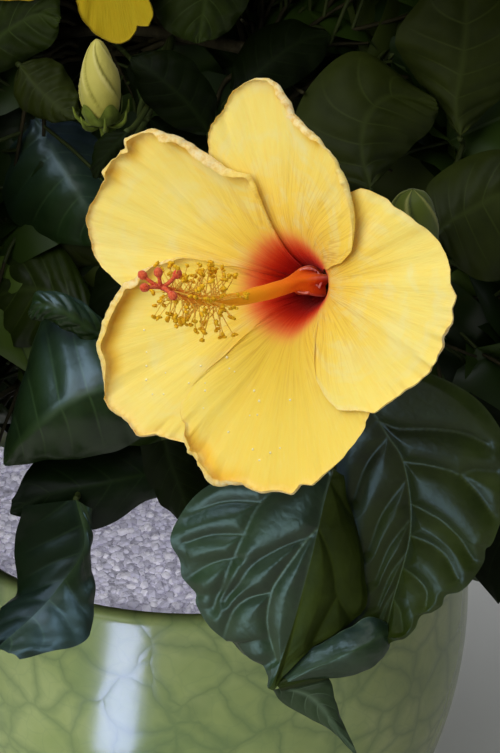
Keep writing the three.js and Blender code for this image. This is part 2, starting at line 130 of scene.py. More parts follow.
# ------------------------------------------------------------------ meshes
class Build:
    """Gathers grids and faces of one piece."""

    def __init__(self):
        self.v, self.f, self.m, self.uv, self.att, self.n = [], [], [], [], {}, 0

    def add(self, verts, faces, mat=0, uv=None, **att):
        verts = np.asarray(verts, float).reshape(-1, 3)
        faces = np.asarray(faces, int)
        self.v.append(verts)
        if faces.shape[1] == 3:
            faces = np.hstack([faces, -np.ones((len(faces), 1), int) - self.n])
        self.f.append(faces + self.n)
        self.m.append(np.broadcast_to(np.asarray(mat, int), (len(faces),)))
        self.uv.append(np.zeros((len(verts), 2)) if uv is None else np.asarray(uv, float).reshape(-1, 2))
        for k, a in att.items():
            self.att.setdefault(k, []).append((self.n, np.asarray(a, float).ravel()))
        self.n += len(verts)

    def grid(self, pts, mat=0, uv=None, close=False, flip=False, **att):
        """pts of shape (rows, cols, 3)."""
        r, c = pts.shape[:2]
        i, j = np.meshgrid(np.arange(r - 1), np.arange(c if close else c - 1), indexing="ij")
        i, j = i.ravel(), j.ravel()
        k = (j + 1) % c
        q = np.stack([i * c + j, i * c + k, (i + 1) * c + k, (i + 1) * c + j], 1)
        if flip:
            q = q[:, ::-1]
        self.add(pts.reshape(-1, 3), q, mat, uv, **att)

    def object(self, name, materials, smooth_shade=True, body="root", uvs=False):
        v = np.concatenate(self.v)
        f = np.concatenate(self.f)
        m = np.concatenate(self.m)
        tri = f[:, 3] < 0
        order = np.concatenate([np.nonzero(~tri)[0], np.nonzero(tri)[0]])
        quads, tris = f[~tri], f[tri][:, :3]
        loops = np.concatenate([quads.ravel(), tris.ravel()])
        starts = np.concatenate([np.arange(len(quads)) * 4, len(quads) * 4 + np.arange(len(tris)) * 3])
        totals = np.concatenate([np.full(len(quads), 4), np.full(len(tris), 3)])
        me = bpy.data.meshes.new(name)
        me.vertices.add(len(v))
        me.vertices.foreach_set("co", v.ravel())
        me.loops.add(len(loops))
        me.loops.foreach_set("vertex_index", loops.astype(np.int32))
        me.polygons.add(len(starts))
        me.polygons.foreach_set("loop_start", starts.astype(np.int32))
        me.polygons.foreach_set("loop_total", totals.astype(np.int32))
        for mat in materials:
            me.materials.append(mat)
        me.polygons.foreach_set("material_index", m[order].astype(np.int32))
        me.polygons.foreach_set("use_smooth", np.full(len(starts), smooth_shade))
        if uvs:
            uv = np.concatenate(self.uv)
            layer = me.uv_layers.new(name="OFBake")
            layer.data.foreach_set("uv", uv[loops].ravel())
        for k, parts in self.att.items():
            a = np.zeros(len(v))
            for n0, val in parts:
                a[n0:n0 + len(val)] = val
            me.attributes.new(k, "FLOAT", "POINT").data.foreach_set("value", a)
        me.update(calc_edges=True)
        me.validate()
        ob = bpy.data.objects.new(name, me)
        bpy.context.scene.collection.objects.link(ob)
        if body:
            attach(ob, body)
        return ob


def frames_along(p):
    """Tangents and two side vectors along a polyline, without twist."""
    t = unit(np.gradient(p, axis=0))
    n = np.zeros_like(p)
    a = V(0, 0, 1) if abs(t[0, 2]) < 0.9 else V(1, 0, 0)
    n[0] = unit(np.cross(t[0], a))
    for i in range(1, len(p)):
        v = n[i - 1] - t[i] * (n[i - 1] @ t[i])
        n[i] = unit(v)
    return t, n, np.cross(t, n)


def tube(b, p, radius, sides=6, mat=0, bump=None, cap=True, **att):
    p = np.asarray(p, float)
    r = np.broadcast_to(np.asarray(radius, float), (len(p),))
    t, n, m = frames_along(p)
    ang = np.linspace(0, 2 * np.pi, sides, endpoint=False)
    ring = np.cos(ang)[None, :, None] * n[:, None] + np.sin(ang)[None, :, None] * m[:, None]
    rr = r[:, None]
    if bump is not None:
        rr = rr * (1 + bump)
    pts = p[:, None] + ring * (rr[..., None] if rr.ndim == 2 and rr.shape[1] == sides else rr[:, :, None])
    if cap:
        pts = np.concatenate([np.repeat(p[:1, None], sides, 1), pts, np.repeat(p[-1:, None], sides, 1)])
    b.grid(pts, mat, close=True, flip=True, **{k: np.full(pts.shape[0] * sides, v) for k, v in att.items()})


def curve(points, steps):
    """A smooth Catmull-Rom curve through the points."""
    P = [np.asarray(q, float) for q in points]
    P = [2 * P[0] - P[1]] + P + [2 * P[-1] - P[-2]]
    out = []
    segs = len(P) - 3
    for k in range(steps + 1):
        s = min(k / steps * segs, segs - 1e-9)
        i = int(s)
        u = s - i
        a, c, d, e = P[i:i + 4]
        out.append(0.5 * ((2 * c) + (d - a) * u + (2 * a - 5 * c + 4 * d - e) * u**2 + (3 * c - a - 3 * d + e) * u**3))
    return np.array(out)


def sample(seq, n):
    """A list of points or numbers resampled smoothly to n values."""
    a = np.asarray(seq, float)
    if a.ndim == 1:
        return curve([V(x, 0, 0) for x in a], n - 1)[:, 0]
    if a.shape[1] == 2:
        return curve([V(x[0], x[1], 0) for x in a], n - 1)[:, :2]
    return curve(list(a), n - 1)


def ripple(x, seed, octaves=3, base=1.0):
    """Smooth seeded noise of one variable, about -1 to 1."""
    g = np.random.default_rng(seed)
    y = np.zeros_like(np.asarray(x, float))
    for o in range(octaves):
        y = y + np.sin(np.asarray(x, float) * base * 2**o * g.uniform(0.8, 1.25) + g.uniform(0, 6.28)) / 1.7**o
    return y / 1.9


# ------------------------------------------------------------------ materials
def material(name, color, rough=0.5, spec=0.5, coat=0.0, coat_rough=0.1, sheen=0.0, metallic=0.0):
    m = bpy.data.materials.new(name)
    m.use_nodes = True
    nt = m.node_tree
    bs = nt.nodes["Principled BSDF"]
    bs.inputs["Base Color"].default_value = color
    bs.inputs["Roughness"].default_value = rough
    bs.inputs["Specular IOR Level"].default_value = spec
    bs.inputs["Coat Weight"].default_value = coat
    bs.inputs["Coat Roughness"].default_value = coat_rough
    bs.inputs["Sheen Weight"].default_value = sheen
    bs.inputs["Metallic"].default_value = metallic
    m.diffuse_color = color
    return m, nt, bs


def node(nt, kind, **kw):
    n = nt.nodes.new(kind)
    for k, v in kw.items():
        if k.startswith("in_"):
            key = k[3:]
            n.inputs[int(key) if key.isdigit() else key.replace("_", " ")].default_value = v
        else:
            setattr(n, k, v)
    return n


def ramp(nt, fac, stops, interp="LINEAR"):
    r = nt.nodes.new("ShaderNodeValToRGB")
    r.color_ramp.interpolation = interp
    el = r.color_ramp.elements
    while len(el) < len(stops):
        el.new(0.5)
    for e, (pos, col) in zip(el, stops):
        e.position = pos
        e.color = col if len(col) == 4 else tuple(col) + (1,)
    nt.links.new(fac, r.inputs[0])
    return r.outputs[0]


def mix(nt, fac, a, b, blend="MIX"):
    n = nt.nodes.new("ShaderNodeMix")
    n.data_type = "RGBA"
    n.blend_type = blend
    for sock, val in ((n.inputs[0], fac), (n.inputs[6], a), (n.inputs[7], b)):
        if hasattr(val, "links"):
            nt.links.new(val, sock)
        else:
            sock.default_value = val
    return n.outputs[2]


def math_node(nt, op, a, b=0.0, c=0.0):
    n = nt.nodes.new("ShaderNodeMath")
    n.operation = op
    for sock, val in zip(n.inputs, (a, b, c)):
        if hasattr(val, "links"):
            nt.links.new(val, sock)
        else:
            sock.default_value = val
    return n.outputs[0]


def noise(nt, coord, scale, detail=3.0, rough=0.55):
    n = node(nt, "ShaderNodeTexNoise", in_Scale=scale, in_Detail=detail, in_Roughness=rough)
    nt.links.new(coord, n.inputs["Vector"])
    return n.outputs["Fac"]


def bump(nt, bs, height, distance, strength=1.0):
    b = node(nt, "ShaderNodeBump", in_Strength=strength, in_Distance=distance)
    nt.links.new(height, b.inputs["Height"])
    nt.links.new(b.outputs[0], bs.inputs["Normal"])


def obj_coord(nt):
    return nt.nodes.new("ShaderNodeTexCoord").outputs["Object"]


def attribute(nt, name):
    n = nt.nodes.new("ShaderNodeAttribute")
    n.attribute_name = name
    return n.outputs["Fac"]


def leaf_plain(name, rgb, rough, spec=0.30):
    m, nt, bs = material(name, lin(*rgb), rough, spec)
    return m


# leaves that are dealt out by spray, each in its own plain green
LEAF_GREENS = [
    leaf_plain("leaf_deep", (28, 43, 14), 0.36),
    leaf_plain("leaf_dark", (37, 54, 17), 0.38),
    leaf_plain("leaf_mid", (47, 66, 20), 0.40),
    leaf_plain("leaf_olive", (59, 71, 24), 0.42),
    leaf_plain("leaf_young", (82, 105, 36), 0.40),
]
VEIN_GREEN = leaf_plain("leaf_midrib", (66, 84, 42), 0.5)


def hero_leaf_material(name, dark, light, vein, rough=0.36, lumps=1.0, spec=0.35):
    """A leaf seen close: side veins from the leaf's own map, a net of small veins, mottling, a painted highlight on the
    bulges between the veins, and painted shade on the half marked shady.
    """
    m, nt, bs = material(name, lin(*dark), rough, spec)
    co = obj_coord(nt)
    quilt = attribute(nt, "quilt")
    apart = math_node(nt, "PINGPONG", attribute(nt, "vq"), 0.5)
    side = ramp(nt, apart, [(0.0, (1, 1, 1)), (0.022, (0.7, 0.7, 0.7)), (0.055, (0, 0, 0))])
    fade = ramp(nt, attribute(nt, "vs"), [(0.0, (0.85, 0.85, 0.85)), (0.6, (0.45, 0.45, 0.45)), (0.95, (0, 0, 0))])
    line = math_node(nt, "MAXIMUM", attribute(nt, "vein"), math_node(nt, "MULTIPLY", side, fade))
    n1 = noise(nt, co, 60, 4)
    n2 = noise(nt, co, 420, 3)
    net = node(nt, "ShaderNodeTexVoronoi", feature="DISTANCE_TO_EDGE", in_Scale=190.0)
    nt.links.new(co, net.inputs["Vector"])
    thin = ramp(nt, net.outputs["Distance"], [(0.0, (1, 1, 1)), (0.05, (0.4, 0.4, 0.4)), (0.11, (0, 0, 0))])
    base = mix(nt, ramp(nt, n1, [(0.3, (0, 0, 0)), (0.72, (1, 1, 1))]), lin(*dark), lin(*light))
    # painted highlight: the bulges between the veins are painted lighter
    base = mix(nt, math_node(nt, "MULTIPLY", quilt, 0.3), base, lin(*light))
    base = mix(nt, math_node(nt, "MULTIPLY", thin, 0.05), base, lin(*vein))
    # painted shade: the half marked shady is painted dark olive
    shady = attribute(nt, "shady")
    base = mix(nt, math_node(nt, "MULTIPLY", shady, 0.85), base, lin(27, 37, 11))
    nt.links.new(mix(nt, line, base, lin(*vein)), bs.inputs["Base Color"])
    cells = node(nt, "ShaderNodeTexVoronoi", feature="DISTANCE_TO_EDGE", in_Scale=330.0)
    nt.links.new(co, cells.inputs["Vector"])
    lump = ramp(nt, cells.outputs["Distance"], [(0.0, (0, 0, 0)), (0.3, (1, 1, 1))], "EASE")
    broad = ramp(nt, net.outputs["Distance"], [(0.0, (0, 0, 0)), (0.35, (1, 1, 1))], "EASE")
    h = math_node(nt, "ADD", math_node(nt, "MULTIPLY", n2, 0.3), math_node(nt, "MULTIPLY", lump, 0.25))
    h = math_node(nt, "ADD", h, math_node(nt, "MULTIPLY", broad, 0.6))
    bump(nt, bs, h, 0.00020 * lumps, 0.4)
    dull = math_node(nt, "ADD", math_node(nt, "MULTIPLY", n1, 0.14), math_node(nt, "MULTIPLY", shady, 0.22))
    nt.links.new(math_node(nt, "ADD", dull, rough - 0.07), bs.inputs["Roughness"])
    return m


LEAF_HERO = hero_leaf_material("leaf_hero", (27, 38, 8), (46, 59, 14), (66, 82, 34), 0.38, 1.0, 0.22)
# painted shade: a matte dark olive copy for the half of a leaf that faces away from the light
LEAF_HERO_SHADED_HALF = hero_leaf_material("leaf_hero_shaded_half", (36, 46, 9), (54, 66, 16), (70, 84, 26), 0.50, 1.0, 0.08)
LEAF_HERO_COOL = hero_leaf_material("leaf_hero_cool", (24, 40, 20), (43, 63, 35), (74, 94, 60), 0.33, 1.0, 0.45)
LEAF_HERO_BLUE = hero_leaf_material("leaf_hero_blue", (20, 34, 11), (34, 51, 19), (52, 70, 36), 0.33, 0.6, 0.42)
# painted shade: a darker copy of the leaf for blades that face away from the light
LEAF_HERO_SHADE = hero_leaf_material("leaf_hero_shade", (10, 21, 6), (18, 32, 10), (30, 46, 20), 0.36, 0.5, 0.20)
LEAF_HERO_OLIVE = hero_leaf_material("leaf_hero_olive", (34, 41, 11), (47, 55, 17), (58, 68, 26), 0.46, 0.5, 0.16)
# painted shade: a near-black copy of the leaf for blades deep in the shade of the crown
LEAF_HERO_DEEP_SHADE = hero_leaf_material("leaf_hero_deep_shade", (8, 14, 2), (15, 23, 5), (24, 34, 12), 0.45, 0.5, 0.08)
LEAF_UNDER = hero_leaf_material("leaf_underside", (32, 46, 26), (50, 66, 42), (84, 104, 80), 0.40, 0.6, 0.30)


def bark_material(name, a, b, c):
    m, nt, bs = material(name, lin(*a), 0.85, 0.3)
    co = obj_coord(nt)
    mp = node(nt, "ShaderNodeMapping")
    mp.inputs["Scale"].default_value = (1, 1, 0.22)
    nt.links.new(co, mp.inputs["Vector"])
    n1 = noise(nt, mp.outputs[0], 260, 6, 0.65)
    n2 = noise(nt, co, 60, 3)
    col = ramp(nt, n1, [(0.3, lin(*a)), (0.52, lin(*b)), (0.75, lin(*c))])
    col = mix(nt, ramp(nt, n2, [(0.42, (0, 0, 0)), (0.7, (1, 1, 1))]), col, lin(*b))
    nt.links.new(col, bs.inputs["Base Color"])
    bump(nt, bs, n1, 0.0012, 0.8)
    return m


BARK = bark_material("bark", (58, 48, 38), (104, 92, 76), (142, 130, 110))
# darker bark for the wood inside the crown
BARK_IN_CROWN = bark_material("bark_young", (34, 30, 20), (54, 50, 32), (74, 68, 46))
TWIG, _nt, _bs = material("twig", lin(46, 44, 26), 0.7, 0.2)
_c = obj_coord(_nt)
_nt.links.new(ramp(_nt, noise(_nt, _c, 140, 3), [(0.3, lin(36, 36, 20)), (0.7, lin(60, 54, 34))]), _bs.inputs["Base Color"])
PETIOLE, _nt, _bs = material("petiole", lin(54, 64, 28), 0.55, 0.25)


def petal_material(name, painted_shade_tint=(1, 1, 1), rim=(249, 219, 160)):
    """Lemon yellow with paler patches of painted sheen, gold toward the eye, a red eye that fades through coral, fine
    rays along the petal, and painted shade in deep gold along folds and creases.
    """

    def tint(r, g, b):
        return lin(r * painted_shade_tint[0], g * painted_shade_tint[1], b * painted_shade_tint[2])

    m, nt, bs = material(name, tint(250, 224, 112), 0.65, 0.12, sheen=0.05)
    bs.inputs["Subsurface Weight"].default_value = 0.08
    bs.inputs["Subsurface Radius"].default_value = (1.0, 0.55, 0.10)
    bs.inputs["Subsurface Scale"].default_value = 0.005
    eye = attribute(nt, "eye")  # half the distance from the axis, in radii of the red eye
    reach = attribute(nt, "reach")  # distance from the axis, in decimetres
    rimv = attribute(nt, "rim")
    across = attribute(nt, "across")
    along = attribute(nt, "along")
    fold = attribute(nt, "fold")
    warm = attribute(nt, "warm")

    def rays_of(wide, deep, scale, detail):
        xyz = nt.nodes.new("ShaderNodeCombineXYZ")
        nt.links.new(math_node(nt, "MULTIPLY", across, wide), xyz.inputs[0])
        nt.links.new(math_node(nt, "MULTIPLY", along, deep), xyz.inputs[1])
        return noise(nt, xyz.outputs[0], scale, detail, 0.6)

    rays = rays_of(15.0, 1.3, 3.2, 3)
    fine = rays_of(60.0, 2.2, 2.4, 2)
    hair = rays_of(150.0, 5.0, 2.0, 3)
    spokes = rays_of(26.0, 0.7, 2.2, 1)
    patch = rays_of(5.0, 4.0, 1.6, 3)
    co = obj_coord(nt)
    blotch = noise(nt, co, 60, 3)
    e = math_node(nt, "ADD", eye, math_node(nt, "MULTIPLY", math_node(nt, "SUBTRACT", rays, 0.5), -0.10))
    e = math_node(nt, "ADD", e, math_node(nt, "MULTIPLY", math_node(nt, "SUBTRACT", fine, 0.5), -0.05))
    body = ramp(nt, reach, [(0.15, tint(254, 207, 78)), (0.30, tint(252, 216, 90)), (0.52, tint(250, 229, 124)), (0.9, tint(251, 233, 136))])
    body = mix(nt, math_node(nt, "MULTIPLY", warm, 0.55), body, tint(246, 208, 54))
    body = mix(nt, ramp(nt, rays, [(0.42, (0, 0, 0)), (0.8, (0.38, 0.38, 0.38))]), body, tint(251, 211, 74))
    body = mix(nt, ramp(nt, fine, [(0.5, (0, 0, 0)), (0.85, (0.22, 0.22, 0.22))]), body, tint(242, 193, 64))
    body = mix(nt, ramp(nt, hair, [(0.54, (0, 0, 0)), (0.8, (0.2, 0.2, 0.2))]), body, tint(255, 240, 170))
    # painted sheen: pale greyish-lemon patches, kept off the warmer petals
    painted_sheen = math_node(nt, "MULTIPLY", ramp(nt, patch, [(0.47, (0, 0, 0)), (0.62, (0.85, 0.85, 0.85))]), math_node(nt, "SUBTRACT", 1.0, warm))
    body = mix(nt, math_node(nt, "MULTIPLY", painted_sheen, blotch), body, tint(240, 232, 168))
    # ochre veins that fan out just past the eye
    zone = ramp(nt, reach, [(0.12, (0, 0, 0)), (0.17, (1, 1, 1)), (0.25, (0.7, 0.7, 0.7)), (0.52, (0, 0, 0))])
    vein = ramp(nt, spokes, [(0.455, (0, 0, 0)), (0.49, (1, 1, 1)), (0.51, (1, 1, 1)), (0.545, (0, 0, 0))])
    body = mix(nt, math_node(nt, "MULTIPLY", math_node(nt, "MULTIPLY", vein, zone), 0.42), body, tint(208, 142, 40))
    # painted shade: the fold attribute paints fold valleys, the band beside a covering petal and the creases of curled
    # edges deep gold
    body = mix(nt, fold, body, tint(238, 184, 20))
    red = ramp(nt, e, [(0.20, lin(136, 6, 2)), (0.30, lin(172, 20, 4)), (0.37, lin(202, 42, 11)), (0.43, lin(222, 74, 30)), (0.50, lin(238, 120, 58)), (0.60, lin(248, 172, 76)), (0.70, lin(251, 205, 82))])
    mask = ramp(nt, e, [(0.50, (1, 1, 1)), (0.74, (0, 0, 0))], "EASE")
    col = mix(nt, mask, body, red)
    crumple = noise(nt, co, 520, 3)
    rim_col = ramp(nt, crumple, [(0.34, tint(232, 184, 108)), (0.5, tint(*rim)), (0.66, tint(252, 232, 186))])
    col = mix(nt, rimv, col, rim_col)
    nt.links.new(col, bs.inputs["Base Color"])
    h = math_node(nt, "ADD", math_node(nt, "MULTIPLY", rays, 0.8), math_node(nt, "MULTIPLY", fine, 0.5))
    h = math_node(nt, "ADD", h, math_node(nt, "MULTIPLY", hair, 0.2))
    h = math_node(nt, "ADD", h, math_node(nt, "MULTIPLY", math_node(nt, "MULTIPLY", crumple, rimv), 1.1))
    bump(nt, bs, h, 0.0007, 0.45)
    return m


PETAL = petal_material("petal")
# painted shade: a darker, deeper gold copy of the petal for the upper bloom, which sits in the shade of the leaves
# above
PETAL_SHADED = petal_material("petal_shaded", (0.73, 0.71, 0.24), (240, 222, 200))
STAMEN_TUBE, _nt, _bs = material("column", lin(244, 140, 16), 0.5, 0.25, sheen=0.05)
_along = attribute(_nt, "along")
_c = obj_coord(_nt)
_col = ramp(_nt, _along, [(0.0, lin(226, 72, 24)), (0.07, lin(234, 88, 10)), (0.22, lin(242, 112, 4)), (0.36, lin(250, 138, 4)), (0.50, lin(252, 164, 8)), (0.78, lin(250, 172, 18)), (0.92, lin(242, 128, 40)), (1.0, lin(232, 84, 50))])
_col = mix(_nt, math_node(_nt, "MULTIPLY", noise(_nt, _c, 300, 3), 0.14), _col, lin(255, 190, 70))
# pale pink on the ridge crests at the column's foot (edge attribute): partly their own colour, partly a painted
# highlight
_nt.links.new(mix(_nt, attribute(_nt, "edge"), _col, lin(246, 150, 128)), _bs.inputs["Base Color"])
bump(_nt, _bs, noise(_nt, _c, 900, 3), 0.0003, 0.6)
FILAMENT, _nt, _bs = material("filament", lin(248, 196, 72), 0.5, 0.3)
ANTHER, _nt, _bs = material("anther", lin(228, 164, 14), 0.85, 0.1)
_c = obj_coord(_nt)
_nt.links.new(ramp(_nt, noise(_nt, _c, 1400, 3), [(0.3, lin(214, 142, 6)), (0.6, lin(252, 200, 44))]), _bs.inputs["Base Color"])
bump(_nt, _bs, noise(_nt, _c, 2600, 2), 0.0003, 0.8)
STIGMA, _nt, _bs = material("stigma", lin(226, 80, 44), 0.8, 0.15, sheen=0.15)
_c = obj_coord(_nt)
_nt.links.new(ramp(_nt, noise(_nt, _c, 1500, 3), [(0.3, lin(216, 56, 24)), (0.65, lin(244, 122, 74))]), _bs.inputs["Base Color"])
bump(_nt, _bs, noise(_nt, _c, 3000, 2), 0.0004, 0.9)
# pale pink strokes on the column's foot: partly their own colour, partly a painted highlight
FOOT_GLINT, _nt, _bs = material("column_foot_glint", lin(246, 168, 160), 0.5, 0.3)
# painted highlight: the drops are an opaque pale near-white in place of clear water catching the light
DEW_GLINT, _nt, _bs = material("dew", lin(253, 243, 186), 0.08, 0.5)

CALYX, _nt, _bs = material("calyx", lin(104, 122, 40), 0.6, 0.25, sheen=0.05)
_c = obj_coord(_nt)
_nt.links.new(ramp(_nt, noise(_nt, _c, 160, 3), [(0.3, lin(76, 92, 24)), (0.7, lin(120, 134, 46))]), _bs.inputs["Base Color"])
bump(_nt, _bs, noise(_nt, _c, 500, 3), 0.0004, 0.5)


def bud_material(name, tip, foot, ridge):
    m, nt, bs = material(name, lin(*tip), 0.55, 0.35, sheen=0.15)
    along = attribute(nt, "along")
    swirl = attribute(nt, "swirl")
    co = obj_coord(nt)
    col = ramp(nt, along, [(0.0, lin(*foot)), (0.30, lin(*foot)), (0.60, lin(*tip)), (1.0, lin(*tip))])
    col = mix(nt, math_node(nt, "MULTIPLY", noise(nt, co, 120, 3), 0.4), col, lin(*foot))
    dark = [max(0, c - 60) for c in foot]
    # painted shade: darker just under each overlapping petal edge of the furled bud
    col = mix(nt, math_node(nt, "MULTIPLY", swirl, 0.6), col, lin(*dark))
    col = mix(nt, attribute(nt, "ridge"), col, lin(*ridge))
    nt.links.new(col, bs.inputs["Base Color"])
    bump(nt, bs, noise(nt, co, 400, 3), 0.0005, 0.5)
    return m


BUD_YELLOW = bud_material("bud_yellow", (200, 190, 96), (178, 172, 74), (214, 206, 130))
BUD_GREEN = bud_material("bud_green", (88, 100, 22), (58, 74, 16), (158, 156, 84))
GRIT, _nt, _bs = material("compost", lin(46, 36, 26), 0.95, 0.2)
_c = obj_coord(_nt)
_nt.links.new(ramp(_nt, noise(_nt, _c, 300, 5), [(0.3, lin(26, 20, 14)), (0.7, lin(70, 54, 38))]), _bs.inputs["Base Color"])
bump(_nt, _bs, noise(_nt, _c, 260, 5), 0.002, 0.9)


def stone_material(name, rgb):
    m, nt, bs = material(name, lin(*rgb), 0.9, 0.3)
    return m


GRAVEL = [stone_material("gravel_%d" % i, c) for i, c in enumerate([(226, 224, 236), (208, 206, 222), (240, 238, 246), (186, 184, 198)])]
GRAVEL_BED, _nt, _bs = material("gravel_bed", lin(200, 198, 212), 0.95, 0.2)
_c = obj_coord(_nt)
_nt.links.new(ramp(_nt, noise(_nt, _c, 420, 4), [(0.3, lin(160, 158, 172)), (0.7, lin(222, 220, 232))]), _bs.inputs["Base Color"])
bump(_nt, _bs, noise(_nt, _c, 420, 4), 0.002, 0.9)

# crackled glaze: a net of fine dark cracks, cells of one or two centimetres, over a mottled green
GLAZE, _nt, _bs = material("crackle_glaze", lin(136, 150, 102), 0.20, 0.32, coat=0.1, coat_rough=0.12)
_c = obj_coord(_nt)
_warp = node(_nt, "ShaderNodeTexNoise", in_Scale=38.0, in_Detail=3.0)
_nt.links.new(_c, _warp.inputs["Vector"])
_add = node(_nt, "ShaderNodeVectorMath", operation="SCALE", in_Scale=0.016)
_nt.links.new(_warp.outputs["Color"], _add.inputs[0])
_sum = node(_nt, "ShaderNodeVectorMath", operation="ADD")
_nt.links.new(_c, _sum.inputs[0])
_nt.links.new(_add.outputs[0], _sum.inputs[1])
_vor = node(_nt, "ShaderNodeTexVoronoi", feature="DISTANCE_TO_EDGE", in_Scale=41.0, in_Randomness=1.0)
_nt.links.new(_sum.outputs[0], _vor.inputs["Vector"])
_vor2 = node(_nt, "ShaderNodeTexVoronoi", feature="DISTANCE_TO_EDGE", in_Scale=98.0, in_Randomness=1.0)
_nt.links.new(_sum.outputs[0], _vor2.inputs["Vector"])
_crack = ramp(_nt, _vor.outputs["Distance"], [(0.0, (0.9, 0.9, 0.9)), (0.045, (0.5, 0.5, 0.5)), (0.15, (0, 0, 0))])
_hair = ramp(_nt, _vor2.outputs["Distance"], [(0.0, (0.5, 0.5, 0.5)), (0.05, (0, 0, 0))])
_n1 = noise(_nt, _c, 16, 4)
_n2 = noise(_nt, _c, 90, 4)
_base = ramp(_nt, _n1, [(0.3, lin(112, 129, 72)), (0.5, lin(136, 148, 86)), (0.7, lin(156, 164, 106))])
_base = mix(_nt, math_node(_nt, "MULTIPLY", _n2, 0.4), _base, lin(128, 146, 96))
_base = mix(_nt, math_node(_nt, "MULTIPLY", _hair, 0.3), _base, lin(96, 116, 80))
_nt.links.new(mix(_nt, math_node(_nt, "MULTIPLY", _crack, 0.58), _base, lin(84, 104, 66)), _bs.inputs["Base Color"])
bump(_nt, _bs, math_node(_nt, "SUBTRACT", 1.0, _crack), 0.00025, 0.35)

CLAY, _nt, _bs = material("bare_clay", lin(150, 132, 108), 0.85, 0.3)
_c = obj_coord(_nt)
_nt.links.new(ramp(_nt, noise(_nt, _c, 120, 4), [(0.3, lin(128, 110, 88)), (0.7, lin(168, 150, 124))]), _bs.inputs["Base Color"])

# ------------------------------------------------------------------ pot, compost, gravel
POT_H = 0.220
RIM_R = 0.1345
BOWL = [(0, 98.0), (4, 100.5), (22, 107.3), (48, 117.8), (76, 127.4), (105, 134.6), (136, 138.3), (175, 137.9), (214, 134.5)]
WALL = 8.5


def bowl_radius(z_mm):
    """The bowl's outer radius as one smooth curve through the measured stations."""
    zs = np.array([s[0] for s in BOWL], float)
    rs = np.array([s[1] for s in BOWL], float)
    z_mm = np.asarray(z_mm, float)
    d = np.gradient(rs, zs)
    i = np.clip(np.searchsorted(zs, z_mm) - 1, 0, len(zs) - 2)
    h = zs[i + 1] - zs[i]
    t = (z_mm - zs[i]) / h
    return (rs[i] * (2 * t**3 - 3 * t**2 + 1) + d[i] * h * (t**3 - 2 * t**2 + t)
            + rs[i + 1] * (-2 * t**3 + 3 * t**2) + d[i + 1] * h * (t**3 - t**2))


def lathe(b, profile, sides, mat, wobble=None, uv_rect=(0, 0, 1, 1)):
    prof = np.asarray(profile, float) * MM
    ang = np.linspace(0, 2 * np.pi, sides + 1)
    pts = np.stack([prof[:, 0, None] * np.cos(ang), prof[:, 0, None] * np.sin(ang), np.repeat(prof[:, 1, None], sides + 1, 1)], -1)
    if wobble is not None:
        pts = wobble(pts)
    s = np.concatenate([[0], np.cumsum(np.linalg.norm(np.diff(prof, axis=0), axis=1))])
    s = s / s[-1]
    u0, v0, u1, v1 = uv_rect
    uv = np.stack(np.broadcast_arrays(u0 + (u1 - u0) * ang[None] / (2 * np.pi), v0 + (v1 - v0) * s[:, None]), -1)
    b.grid(pts, mat, uv)


b = Build()
outer = [(0, 0.0), (60, 0.0), (94, 0.0), (96.5, 0.25), (98.2, 1.2), (99.6, 2.8)]
outer += [(float(bowl_radius(z)), float(z)) for z in np.linspace(5, 213, 54)]
lip = [(RIM_R * 1000 - 0.1, 215.5), (RIM_R * 1000 - 0.5, 217.6), (RIM_R * 1000 - 1.6, 219.2), (RIM_R * 1000 - 3.4, 219.9), (RIM_R * 1000 - 5.4, 219.8), (RIM_R * 1000 - 7.0, 218.8), (RIM_R * 1000 - 8.1, 217.0)]
inner = [(float(bowl_radius(z)) - WALL, float(z)) for z in np.linspace(214, 196, 8)]
lathe(b, outer + lip + inner, 192, 0, uv_rect=(0, 0, 1, 1))
pot = b.object("pot_glazed", [GLAZE], uvs=True)
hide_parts("pot")

# the gravel: a bed, and loose stones of four greys
b = Build()
rr = np.linspace(0.0, 1, 26)
ang = np.linspace(0, 2 * np.pi, 97)
R0 = float(bowl_radius(205)) - WALL - 0.6
X, Y = rr[:, None] * np.cos(ang) * R0, rr[:, None] * np.sin(ang) * R0
Z = 202.6 + 1.0 * np.sin(X / 17 + 1.1) * np.cos(Y / 21) + 0.7 * np.sin(X / 7.3) * np.sin(Y / 6.1 + 2)
Z = Z - 1.2 * smooth(rr, 0.8, 1.0)[:, None]
b.grid(np.stack([X, Y, Z], -1) * MM, 0)
edge = [(R0, 192.6), (R0, 200.4)]
lathe(b, edge, 96, 0)
bed = b.object("gravel_bed", [GRAVEL_BED])
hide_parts("gravel_mulch")


def pebble_shape():
    t = (1 + 5**0.5) / 2
    v = unit(np.array([(-1, t, 0), (1, t, 0), (-1, -t, 0), (1, -t, 0), (0, -1, t), (0, 1, t), (0, -1, -t), (0, 1, -t), (t, 0, -1), (t, 0, 1), (-t, 0, -1), (-t, 0, 1)], float))
    f = np.array([(0, 11, 5), (0, 5, 1), (0, 1, 7), (0, 7, 10), (0, 10, 11), (1, 5, 9), (5, 11, 4), (11, 10, 2), (10, 7, 6), (7, 1, 8), (3, 9, 4), (3, 4, 2), (3, 2, 6), (3, 6, 8), (3, 8, 9), (4, 9, 5), (2, 4, 11), (6, 2, 10), (8, 6, 7), (9, 8, 1)])
    return v, f


